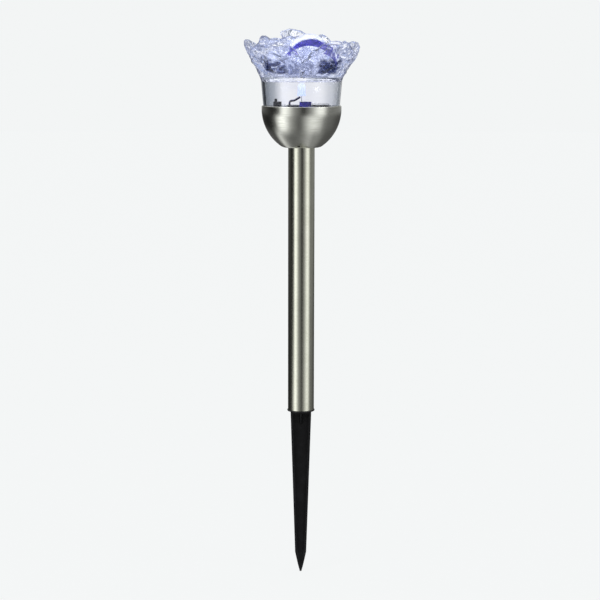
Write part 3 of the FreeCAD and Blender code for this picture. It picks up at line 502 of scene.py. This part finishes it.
lead_insulation = moulded("lead insulation", (0.010, 0.010, 0.075), (0.025, 0.022, 0.15), 0.45, 0.006)
# The LED's holder is black plastic; its blue-violet colour here is painted light from the lamp.
painted_blue_light_block = moulded("lamp block with painted blue light", (0.030, 0.022, 0.30), (0.045, 0.04, 0.42), 0.5, 0.008)
dark_mask = moulded("dark solder mask", (0.006, 0.008, 0.022), (0.012, 0.014, 0.035), 0.5, 0.006)
dress(painted_blue_light_block, "led_holder")
dress(lead_insulation, "lamp_lead_front", "lamp_lead_rear")
dress(dark_mask, "terminal_board")

# ---------------------------------------------------------------------------
# Solar cell: silicon strips on a small board, under a pool of clear resin. It lies on the
# deck and charges the cell by day.
# ---------------------------------------------------------------------------
silicon = brushed("silicon", (0.012, 0.018, 0.07), (0.02, 0.03, 0.11), 0.25, 1500.0, 0.002)
resin = moulded(
    "clear resin", (0.92, 0.93, 0.95), (0.88, 0.90, 0.94), 0.1, 0.004, Transmission_Weight=1.0, IOR=1.5)
dress(dark_mask, "solar_board")
dress(silicon, "solar_strips")
dress(resin, "panel_resin")

# ---------------------------------------------------------------------------
# Switch: a small black slide switch, its lever standing out of a slot. Its pins go down
# through the deck to the circuit board.
# ---------------------------------------------------------------------------
switch_plastic = moulded("switch plastic", (0.004, 0.004, 0.010), (0.010, 0.010, 0.020), 0.6, 0.006)
dress(switch_plastic, "switch_body", "switch_lever")

# ---------------------------------------------------------------------------
# Clear flower: an acrylic skirt that drops into the cup, closed on top, with five outer
# petals moulded on it. The middle petals and the bud are glued on its top.
# ---------------------------------------------------------------------------
cover_low, cover_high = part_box("flower_cover")
SKIRT_FOOT_R = RIM_R - 1.1 * mm
SKIRT_TOP_R = SKIRT_FOOT_R + 1.6 * mm
SKIRT_BORE_R = SKIRT_FOOT_R - 2.4 * mm
BORE_TOP_R = SKIRT_TOP_R - 2.4 * mm
SKIRT_TOP = RIM_Z + 19.5 * mm
CEILING_T = 2.4 * mm
SPIGOT_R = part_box("gasket_ring")[1].x + 0.2 * mm
PETAL_THICK = 2.2 * mm
OUTER_COUNT = 5
OUTER_FIRST_ANGLE = math.radians(18)
CLEAR = {"Transmission_Weight": 1.0, "IOR": 1.49, "Emission_Strength": 1.0}


def painted_crescent_masks(tree, where):
    """Painted lamp light in the front petal: a painted blue crescent between two circles and a painted pale
    highlight rim outside it, as two masks. A circle's centre is X and height over the cup's rim, in mm."""
    def from_centre(x, height):
        dx = minus(tree, where["X"], x * mm)
        dz = minus(tree, where["Z"], RIM_Z + height * mm)
        flat = put(tree, "ShaderNodeCombineXYZ", {0: dx, 1: dz})
        return put(tree, "ShaderNodeVectorMath", {0: flat.outputs[0]}, operation="LENGTH").outputs["Value"]

    reach = from_centre(6.3, 27.4)
    inside = between(tree, reach, 16.4 * mm, 17.2 * mm, 1.0, 0.0)
    outside = between(tree, from_centre(4.9, 21.5), 18.0 * mm, 18.8 * mm)
    front = between(tree, where["Y"], -16 * mm, -14 * mm, 1.0, 0.0)
    high = times(tree, front, between(tree, where["Z"], RIM_Z + 38 * mm, RIM_Z + 42 * mm))
    band_start = between(tree, reach, 17.0 * mm, 17.8 * mm)
    band_end = between(tree, reach, 20.0 * mm, 21.5 * mm, 1.0, 0.0)
    return times(tree, inside, outside, front), times(tree, times(tree, band_start, band_end), high)


def clear_acrylic():
    """Polished acrylic: crinkles from the mould, painted dark blue shade under the petals and along creases,
    and painted light from the lamp.
    """
    tree, given, out = new_group(
        "clear acrylic", "ShaderNodeTree",
        [("Place", "Vector", None), ("Color", "Color", (0.9, 0.9, 1, 1)),
         ("Deep Color", "Color", (0.7, 0.75, 1, 1)), ("Smoke Color", "Color", (0.2, 0.25, 0.5, 1)),
         ("Smoke", "Float", 0.0), ("Gloss", "Float", 0.02), ("Wave Scale", "Float", 220.0),
         ("Glow Color", "Color", (0.5, 0.5, 0.9, 1)), ("Glow", "Float", 0.05),
         ("Crescent Color", "Color", (0.1, 0.1, 0.6, 1)), ("Crescent", "Float", 0.0),
         ("Folds", "Float", 0.0)],
        [("Base Color", "Color"), ("Roughness", "Float"), ("Height", "Float"), ("Emission Color", "Color")])
    flat = put(tree, "ShaderNodeMapping", {"Vector": given["Place"], "Scale": (1.0, 1.0, 1.7)}).outputs[0]
    wave = noise(tree, flat, given["Wave Scale"], 2.0, Distortion=1.2)
    crease = put(tree, "ShaderNodeMath", {0: minus(tree, wave, 0.5)}, operation="ABSOLUTE").outputs[0]
    crease_shade = between(tree, crease, 0.0, 0.018, 1.0, 0.0)
    patch = noise(tree, flat, 150.0, 3.0, Distortion=1.0)
    where = put(tree, "ShaderNodeSeparateXYZ", {0: given["Place"]}).outputs
    around = bearing(tree, where["Y"], where["X"])
    turn = times(tree, minus(tree, around, OUTER_FIRST_ANGLE), OUTER_COUNT)
    on_petal = put(tree, "ShaderNodeMath", {0: turn}, operation="COSINE").outputs[0]
    low = between(tree, where["Z"], SKIRT_TOP + 1.0 * mm, SKIRT_TOP + 3.5 * mm)
    high = between(tree, where["Z"], SKIRT_TOP + 10 * mm, SKIRT_TOP + 13 * mm, 1.0, 0.0)
    # Painted shade: dark navy patches on the low middle of each outer petal, where the acrylic would show
    # dark surroundings.
    painted_shade = times(tree, low, high, between(tree, on_petal, -0.2, 0.5), between(tree, patch, 0.42, 0.47),
                  given["Smoke"])
    clear = mixed(tree, between(tree, wave, 0.35, 0.7), given["Color"], given["Deep Color"])
    tint = mixed(tree, painted_shade, clear, given["Smoke Color"])
    # Painted shade: thin dark lines along the crinkles' creases.
    tint = mixed(tree, times(tree, crease_shade, given["Folds"]), tint, given["Smoke Color"])
    arch, rim = painted_crescent_masks(tree, where)
    # Painted lamp light: the blue crescent in the front petals' colour.
    tint = mixed(tree, times(tree, arch, given["Crescent"]), tint, given["Crescent Color"])
    # Painted glow: a faint lilac emission over the petals for lamp light carried in the acrylic, uneven with
    # the crinkles.
    painted_glow = times(tree, between(tree, wave, 0.3, 0.7, 0.4, 1.6), given["Glow"], minus(tree, 1.0, painted_shade))
    painted_glow_color = mixed(tree, painted_glow, (0, 0, 0, 1), given["Glow Color"])
    # Painted highlight: a pale rim outside the crescent, given as emission.
    painted_rim_highlight = times(tree, rim, given["Crescent"], 0.3)
    rough = plus(tree, given["Gloss"], between(tree, wave, 0.3, 0.7, 0.0, 0.03))
    tree.links.new(tint, out.inputs["Base Color"])
    tree.links.new(rough, out.inputs["Roughness"])
    tree.links.new(wave, out.inputs["Height"])
    tree.links.new(mixed(tree, painted_rim_highlight, painted_glow_color, (0.9, 0.92, 1.0, 1)), out.inputs["Emission Color"])
    return tree


acrylic_effect = clear_acrylic()
skirt_acrylic = surface("clear skirt acrylic", acrylic_effect, {
    "Color": (0.97, 0.975, 1.0, 1), "Deep Color": (0.94, 0.95, 1.0, 1), "Smoke": 0.0, "Gloss": 0.0,
    "Wave Scale": 60.0, "Glow": 0.0}, relief=0.02, **CLEAR)
# The petals' acrylic: painted dark navy shade and crease shade, a painted lilac glow, and the painted lamp
# light at a little under half strength.
PETAL_SETTINGS = {
    "Color": (0.985, 0.985, 1.0, 1), "Deep Color": (0.92, 0.94, 1.0, 1),
    "Smoke Color": (0.020, 0.034, 0.125, 1), "Smoke": 0.97, "Gloss": 0.01, "Wave Scale": 170.0,
    "Glow Color": (0.50, 0.56, 0.86, 1), "Glow": 0.06, "Crescent Color": (0.07, 0.055, 0.46, 1),
    "Crescent": 0.45, "Folds": 0.18}
petal_acrylic = surface("clear petal acrylic", acrylic_effect, PETAL_SETTINGS, relief=0.20, **CLEAR)
# A copy for the middle petals without the painted shade and with the painted lamp light at full.
painted_light_settings = {**PETAL_SETTINGS, "Smoke": 0.0, "Crescent": 1.0}
painted_light_acrylic = surface("petal acrylic with painted lamp light", acrylic_effect, painted_light_settings, relief=0.15, **CLEAR)


def petal_cage(bm, centre, rows, bluntness=2.4, skew=0.0, columns=11):
    """Adds one petal's sheet. Each row is radius and height over the rim in mm, half angle in
    degrees, then sag and curl: how much lower and further out its sides are than its middle."""
    grid = []
    for radius, height, half, sag, curl in rows:
        row = []
        for i in range(columns):
            u = -1 + 2 * i / (columns - 1)
            a = math.radians(centre + half * u)
            r = (radius + curl * u * u) * mm
            z = RIM_Z + (height - sag * abs(u - skew) ** bluntness) * mm
            row.append(bm.verts.new((r * math.cos(a), r * math.sin(a), z)))
        grid.append(row)
    for lower, upper in zip(grid, grid[1:]):
        for i in range(columns - 1):
            bm.faces.new((lower[i], lower[i + 1], upper[i + 1], upper[i]))


def petal_sheet(name, petals, thickness, material, level=3):
    """Petals as one object: their sheets given a wall and smoothed, so that the rims are round."""
    bm = bmesh.new()
    for petal in petals:
        petal_cage(bm, *petal)
    mesh = bpy.data.meshes.new(name)
    bm.to_mesh(mesh)
    bm.free()
    mesh.shade_smooth()
    thing = new_object(name, mesh, material)
    wall = thing.modifiers.new("wall", "SOLIDIFY")
    wall.thickness = thickness
    wall.offset = 0.0
    wall.use_even_offset = True
    smooth = thing.modifiers.new("smooth", "SUBSURF")
    smooth.levels = smooth.render_levels = level
    return thing


def whorl_tree():
    """Copies one petal round the axis, ripples each copy its own way and, by Lean, sinks the
    petals on the +X side and lifts those on the other."""
    tree, given, out = new_group(
        "petal whorl", "GeometryNodeTree",
        [("Geometry", "Geometry", None), ("Count", "Int", 5), ("First Angle", "Float", 0.0),
         ("Ripple Height", "Float", 0.0003), ("Ripple Scale", "Float", 150.0), ("Calm Below", "Float", 0.0),
         ("Full Above", "Float", 0.01), ("Lean", "Float", 0.0), ("Material", "Material", None)],
        [("Geometry", "Geometry")])
    points = put(tree, "GeometryNodeMeshLine", {"Count": given["Count"], "Offset": (0.0, 0.0, 0.0)})
    index = put(tree, "GeometryNodeInputIndex").outputs[0]
    step = chained(tree, "DIVIDE", (2 * math.pi, given["Count"]))
    turn = plus(tree, given["First Angle"], times(tree, index, step))
    turned = put(tree, "ShaderNodeCombineXYZ", {"Z": turn})
    copies = put(tree, "GeometryNodeInstanceOnPoints", {
        "Points": points.outputs[0], "Instance": given["Geometry"], "Rotation": turned.outputs[0]})
    real = put(tree, "GeometryNodeRealizeInstances", {0: copies.outputs[0]})
    place = put(tree, "GeometryNodeInputPosition").outputs[0]
    flat = put(tree, "ShaderNodeVectorMath", {0: place, 1: (1.0, 1.0, 1.5)}, operation="MULTIPLY").outputs[0]
    ripples = noise(tree, flat, given["Ripple Scale"], 2.0, Distortion=0.8)
    spot = put(tree, "ShaderNodeSeparateXYZ", {0: place}).outputs
    free = between(tree, spot["Z"], given["Calm Below"], given["Full Above"])
    reach = times(tree, free, given["Ripple Height"])
    height = times(tree, minus(tree, ripples, 0.5), reach)
    drop = times(tree, spot["X"], given["Lean"], free)
    normal = put(tree, "GeometryNodeInputNormal").outputs[0]
    push = put(tree, "ShaderNodeVectorMath", {0: normal, "Scale": height}, operation="SCALE")
    lowered = put(tree, "ShaderNodeCombineXYZ", {"Z": drop}).outputs[0]
    sunk = put(tree, "ShaderNodeVectorMath", {0: push.outputs[0], 1: lowered}, operation="SUBTRACT")
    moved = put(tree, "GeometryNodeSetPosition", {"Geometry": real.outputs[0], "Offset": sunk.outputs[0]})
    shaded = put(tree, "GeometryNodeSetShadeSmooth", {0: moved.outputs[0]})
    finished = put(tree, "GeometryNodeSetMaterial", {0: shaded.outputs[0], "Material": given["Material"]})
    tree.links.new(finished.outputs[0], out.inputs[0])
    return tree


def whorl(thing, **values):
    """Runs the petal whorl on an object with these inputs, and leaves plain mesh."""
    modifier = thing.modifiers.new("whorl", "NODES")
    modifier.node_group = whorl_effect
    for item in whorl_effect.interface.items_tree:
        if item.in_out == "INPUT" and item.name.replace(" ", "_") in values:
            modifier[item.identifier] = values[item.name.replace(" ", "_")]
    return applied(thing)


def joined(thing, other):
    """Both closed bodies as one, with the walls where they overlap gone."""
    union = thing.modifiers.new("union", "BOOLEAN")
    union.operation = "UNION"
    union.object = other
    union.solver = "EXACT"
    union.use_self = True
    union.material_mode = "TRANSFER"
    thing.modifiers.new("flat faces", "WEIGHTED_NORMAL").keep_sharp = True
    applied(thing)
    bpy.data.objects.remove(other)
    return thing


def kept_inside(thing, low, high, share=0.2):
    """Draws in what reaches past a box, little by little over the outermost share of it."""
    for axis in range(3):
        for limit, furthest in ((low[axis], min), (high[axis], max)):
            reach = furthest(v.co[axis] for v in thing.data.vertices)
            knee = (1 - share) * limit if axis < 2 else limit - share * (high[2] - low[2])
            if (reach - limit) * (limit - knee) <= 0:
                continue
            squeeze = (limit - knee) / (reach - knee)
            for v in thing.data.vertices:
                if (v.co[axis] - knee) * (limit - knee) > 0:
                    v.co[axis] = knee + (v.co[axis] - knee) * squeeze


whorl_effect = whorl_tree()
SKIRT_CORNER = 1.0 * mm
SPIGOT_EDGE = 0.3 * mm
shoulder = RIM_Z + 0.02 * mm
ceiling_low = SKIRT_TOP - CEILING_T
skirt = lathe("flower_skirt", [
    (SKIRT_BORE_R, cover_low.z), (SPIGOT_R - SPIGOT_EDGE, cover_low.z), (SPIGOT_R, cover_low.z + SPIGOT_EDGE),
    (SPIGOT_R, shoulder), (SKIRT_FOOT_R, shoulder),
    *arc(SKIRT_TOP_R - SKIRT_CORNER, SKIRT_TOP - SKIRT_CORNER, SKIRT_CORNER, 0, 90, 8), (0, SKIRT_TOP),
    (0, ceiling_low), *arc(BORE_TOP_R - SKIRT_CORNER, ceiling_low - SKIRT_CORNER, SKIRT_CORNER, 90, 0, 8)],
    skirt_acrylic)

OUTER_ROWS = [
    (26.1, 15.5, 33, 0, 0),
    (26.6, 18.5, 34.5, 0, 0),
    (28.8, 23.0, 37, 0.5, 0),
    (32.0, 28.5, 38, 2.0, -0.6),
    (35.0, 34.0, 37, 4.5, -1.5),
    (37.2, 38.5, 35, 7.0, -2.4),
    (38.7, 41.8, 33, 9.0, -3.2),
    (38.5, 44.0, 31, 10.5, -3.4),
]
outer = petal_sheet("outer_petals", [(0, OUTER_ROWS, 2.4, 0.12)], PETAL_THICK, petal_acrylic)
whorl(outer, Count=OUTER_COUNT, First_Angle=OUTER_FIRST_ANGLE, Ripple_Height=3.4 * mm, Ripple_Scale=115.0,
      Calm_Below=SKIRT_TOP, Full_Above=SKIRT_TOP + 5 * mm, Lean=0.018, Material=petal_acrylic)
cover = joined(skirt, outer)
kept_inside(cover, cover_low, cover_high)
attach(cover, "flower")
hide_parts("flower_cover")

MIDDLE_ROWS = [
    (18.0, 20.2, 35, 0, 0),
    (18.8, 22.5, 37, 0, 0),
    (22.0, 27.0, 40, 0.5, 0),
    (24.2, 33.0, 41, 2.5, 0),
    (25.4, 39.0, 39, 6.0, 0),
    (26.2, 44.0, 36, 10.0, 0),
    (27.2, 46.6, 32, 12.0, 0.5),
    (28.4, 46.4, 29, 11.5, 1.0),
]


def resized(rows, tip, spread=1.0):
    """The rows of a petal with another tip height and width."""
    foot, top = rows[0][1], max(row[1] for row in rows)
    scale = (tip - foot) / (top - foot)
    return [(radius, foot + (height - foot) * scale, half * spread, sag * scale, curl)
            for radius, height, half, sag, curl in rows]


middle = petal_sheet("middle_petals", [
    (60, resized(MIDDLE_ROWS, 47.4), 1.2), (131, resized(MIDDLE_ROWS, 44.5)),
    (203, resized(MIDDLE_ROWS, 46.0)), (281, resized(MIDDLE_ROWS, 47.4, 1.1), 1.9),
    (347, resized(MIDDLE_ROWS, 40.5))], PETAL_THICK, painted_light_acrylic)
whorl(middle, Count=1, Ripple_Height=1.6 * mm, Ripple_Scale=130.0,
      Calm_Below=SKIRT_TOP, Full_Above=SKIRT_TOP + 4 * mm, Material=painted_light_acrylic)


def base_disc(name, radius, low, high, material):
    """The flat disc that a ring of petals stands on."""
    edge = 0.4 * mm
    return lathe(name, [
        (0, low), *arc(radius - edge, low + edge, edge, -90, 0, 4),
        *arc(radius - edge, high - edge, edge, 0, 90, 4), (0, high)], material)


GLUE_GAP = 0.05 * mm
MIDDLE_DISC_R = 18.5 * mm
HEART_DISC_R = 9.5 * mm
DISC_T = 2.0 * mm
middle_top = SKIRT_TOP + DISC_T
middle_base = base_disc("middle_petals_base", MIDDLE_DISC_R, SKIRT_TOP + GLUE_GAP, middle_top, petal_acrylic)
middle = joined(middle_base, middle)
middle.name = "middle_petals_clear"
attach(middle, "flower")
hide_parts("middle_petals")

HEART_ROWS = [
    (8.4, 22.2, 52, 0, 0),
    (9.2, 24.0, 54, 0, 0),
    (12.2, 30.0, 57, 0.2, 0),
    (12.6, 38.0, 57, 0.6, 0),
    (12.2, 45.0, 54, 1.6, 0.6),
    (12.4, 49.6, 50, 3.4, 1.8),
    (13.2, 50.9, 46, 4.6, 2.8),
]
BUD_ROWS = [
    (3.4, 22.2, 170, 0, 0),
    (4.2, 28.0, 175, 0, 0),
    (5.6, 36.0, 176, 0, 1.2),
    (4.6, 43.0, 168, 0.6, 1.6),
    (3.0, 46.5, 150, 1.2, 1.6),
]
heart = petal_sheet("heart_petals", [
    (117, HEART_ROWS, 3.0, 0.12), (232, resized(HEART_ROWS, 46.0)), (352, resized(HEART_ROWS, 46.8)),
    (200, BUD_ROWS)], PETAL_THICK, petal_acrylic)
whorl(heart, Count=1, Ripple_Height=2.4 * mm, Ripple_Scale=150.0,
      Calm_Below=middle_top, Full_Above=middle_top + 4 * mm, Material=petal_acrylic)
heart_base = base_disc("heart_base", HEART_DISC_R, middle_top + GLUE_GAP, middle_top + DISC_T, petal_acrylic)
heart = joined(heart_base, heart)
heart.name = "rose_heart_clear"
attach(heart, "flower")
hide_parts("rose_heart")

# ---------------------------------------------------------------------------
# Studio: a pale floor at the spike's tip and a pale backdrop, with two soft lights. What the
# steel reflects is a set of rings of light and dark, by how far a wall is turned from the front
# and how steeply it looks down. What shows through the acrylic comes from a ring of its own.
# ---------------------------------------------------------------------------
BACKDROP = (0.896, 0.913, 0.913, 1)
UPRIGHT = [
    (-180, 0.85), (-166, 0.80), (-158, 0.12), (-117, 0.05), (-102, 0.015), (-80, 0.01), (-68, 0.12),
    (-60, 0.80), (-50, 1.15), (-38, 0.86), (-28, 0.40), (-18, 0.20), (-6, 0.12), (3, 0.02), (11, 0.03),
    (22, 0.17), (32, 0.33), (42, 0.66), (52, 0.92), (64, 0.90), (72, 0.56), (82, 0.17), (100, 0.17),
    (135, 0.20), (158, 0.28), (166, 0.8), (180, 0.85),
]
SLOPING = [
    (-180, 0.50), (-160, 0.03), (-122, 0.01), (-100, 0.02), (-86, 0.10), (-76, 0.65), (-66, 1.12),
    (-54, 1.15), (-44, 0.72), (-34, 0.36), (-22, 0.20), (-8, 0.08), (0, 0.13), (12, 0.36), (26, 0.72),
    (38, 0.76), (50, 0.62), (60, 0.46), (70, 0.20), (82, 0.13), (105, 0.10), (130, 0.06), (160, 0.05),
    (180, 0.50),
]
STEEP = [
    (-180, 0.10), (-130, 0.07), (-104, 0.06), (-92, 0.45), (-84, 0.66), (-72, 0.38), (-58, 0.18),
    (-36, 0.11), (-10, 0.13), (8, 0.22), (22, 0.35), (32, 0.34), (44, 0.21), (60, 0.22), (74, 0.16),
    (90, 0.08), (130, 0.07), (180, 0.10),
]
BEHIND = [
    (-180, 0.96), (-177, 0.93), (-175, 0.45), (-168, 0.24), (-160, 0.16), (-155, 0.02), (-138, 0.03),
    (-120, 0.50), (-90, 0.70), (-50, 0.95), (-20, 0.60), (10, 0.45), (40, 0.80), (90, 0.80),
    (120, 0.40), (141, 0.30), (150, 0.30), (155, 0.14), (160, 0.55), (170, 0.62), (175, 0.70),
    (177, 0.88), (180, 0.96),
]


def ring_of_light(name, tree, angle, levels, warmth=1.0):
    """A ring of light. Each level has the angle, in degrees, that it is at."""
    turn = put(tree, "ShaderNodeMapRange", {"Value": angle, "From Min": -math.pi, "From Max": math.pi})
    ramp = put(tree, "ShaderNodeValToRGB", {"Fac": turn.outputs["Result"]}, name=name)
    stops = ramp.color_ramp.elements
    stops.remove(stops[1])
    for number, (degrees, level) in enumerate(levels):
        position = (degrees + 180) / 360
        stop = stops[0] if number == 0 else stops.new(position)
        stop.position = position
        stop.color = (level ** warmth, level, level ** (2 - warmth), 1)
    return ramp.outputs["Color"]


world = bpy.data.worlds.new("studio")
bpy.context.scene.world = world
world.use_nodes = True
sky = world.node_tree
sky.nodes.clear()
direction = put(sky, "ShaderNodeTexCoord").outputs["Generated"]
look = put(sky, "ShaderNodeSeparateXYZ", {0: direction}).outputs
azimuth = bearing(sky, look["X"], times(sky, look["Y"], -1.0))
half_way = put(sky, "ShaderNodeVectorMath", {0: direction, 1: (0.0, 1.0, 0.0)}, operation="SUBTRACT")
facing = put(sky, "ShaderNodeVectorMath", {0: half_way.outputs[0]}, operation="NORMALIZE").outputs[0]
tilt = put(sky, "ShaderNodeSeparateXYZ", {0: facing}).outputs
turn = times(sky, bearing(sky, tilt["X"], times(sky, tilt["Y"], -1.0)), 2.0)
downward = times(sky, tilt["Z"], -1.0)
on_tube = ring_of_light("on upright walls", sky, turn, UPRIGHT)
on_bowl = ring_of_light("on sloping walls", sky, turn, SLOPING)
on_foot = ring_of_light("on steep walls", sky, turn, STEEP)
bowl_light = mixed(sky, between(sky, downward, 0.35, 0.62), on_bowl, on_foot)
room = mixed(sky, between(sky, downward, 0.09, 0.20), on_tube, bowl_light)
level_light = ring_of_light("behind", sky, azimuth, BEHIND, warmth=1.08)
LIGHT_BELOW = (0.34, 0.42, 0.66, 1)
LIGHT_ABOVE = (1.05, 1.08, 1.2, 1)
CEILING_LIGHT = (0.80, 0.80, 0.82, 1)
dark_below = mixed(sky, between(sky, look["Z"], -0.12, -0.45), level_light, LIGHT_BELOW)
behind = mixed(sky, between(sky, look["Z"], 0.15, 0.5), dark_below, LIGHT_ABOVE)
overhead = between(sky, look["Z"], 0.2, 0.6)
studio_light = mixed(sky, overhead, room, CEILING_LIGHT)
lit = put(sky, "ShaderNodeBackground", {"Color": studio_light, "Strength": 1.5})
plain = put(sky, "ShaderNodeBackground", {"Color": BACKDROP, "Strength": 1.0})
path = put(sky, "ShaderNodeLightPath").outputs
seen_through = put(sky, "ShaderNodeBackground", {"Color": behind, "Strength": 0.98})
softened = put(sky, "ShaderNodeMixShader", {
    0: path["Is Transmission Ray"], 1: lit.outputs[0], 2: seen_through.outputs[0]})
whole = put(sky, "ShaderNodeMixShader", {
    0: path["Is Camera Ray"], 1: softened.outputs[0], 2: plain.outputs[0]})
put(sky, "ShaderNodeOutputWorld", {"Surface": whole.outputs[0]})

FLOOR_R = 6.0
FLOOR_GAP = 0.2 * mm
floor_paint = moulded(
    "pale floor", (0.03, 0.03, 0.03), (0.028, 0.028, 0.028), 0.9, 0.01, grain=300.0,
    Emission_Color=BACKDROP, Emission_Strength=0.97, Specular_IOR_Level=0.0)
bm = bmesh.new()
bmesh.ops.create_circle(bm, cap_ends=True, segments=96, radius=FLOOR_R,
                        matrix=Matrix.Translation((0, 0, cad_box[0].z - FLOOR_GAP)))
floor = object_from_bmesh("floor", bm, floor_paint)
floor.visible_glossy = False
floor.visible_transmission = False

LIGHTS_AIM = Vector((0, 0, 0.1))
KEY_LIGHTS = [
    ("left_box", (-0.9, -0.8, 0.75), 0.5, 6.0),
    ("right_box", (0.9, -0.5, 0.6), 0.4, 2.5),
]
for name, place, size, power in KEY_LIGHTS:
    light = bpy.data.lights.new(name, "AREA")
    light.size = size
    light.energy = power
    lamp = bpy.data.objects.new(name, light)
    bpy.context.scene.collection.objects.link(lamp)
    lamp.location = place
    lamp.rotation_euler = (LIGHTS_AIM - Vector(place)).to_track_quat("-Z", "Y").to_euler()

CAMERA_DISTANCE = 1.10
CAMERA_HEIGHT = 0.250
CAMERA_ROLL = math.radians(0.12)
LENS = 97.2
LENS_SHIFT = -0.0019
AIM = Vector((0.0, 0.0, 0.0774))
camera = bpy.data.objects.new("camera", bpy.data.cameras.new("camera"))
bpy.context.scene.collection.objects.link(camera)
camera.location = (0.0, -CAMERA_DISTANCE, CAMERA_HEIGHT)
aimed = (AIM - camera.location).to_track_quat("-Z", "Y")
camera.rotation_euler = (aimed @ Quaternion((0, 0, 1), CAMERA_ROLL)).to_euler()
camera.data.lens = LENS
camera.data.shift_x = LENS_SHIFT
bpy.context.scene.camera = camera
bpy.context.scene.view_settings.view_transform = "Standard"
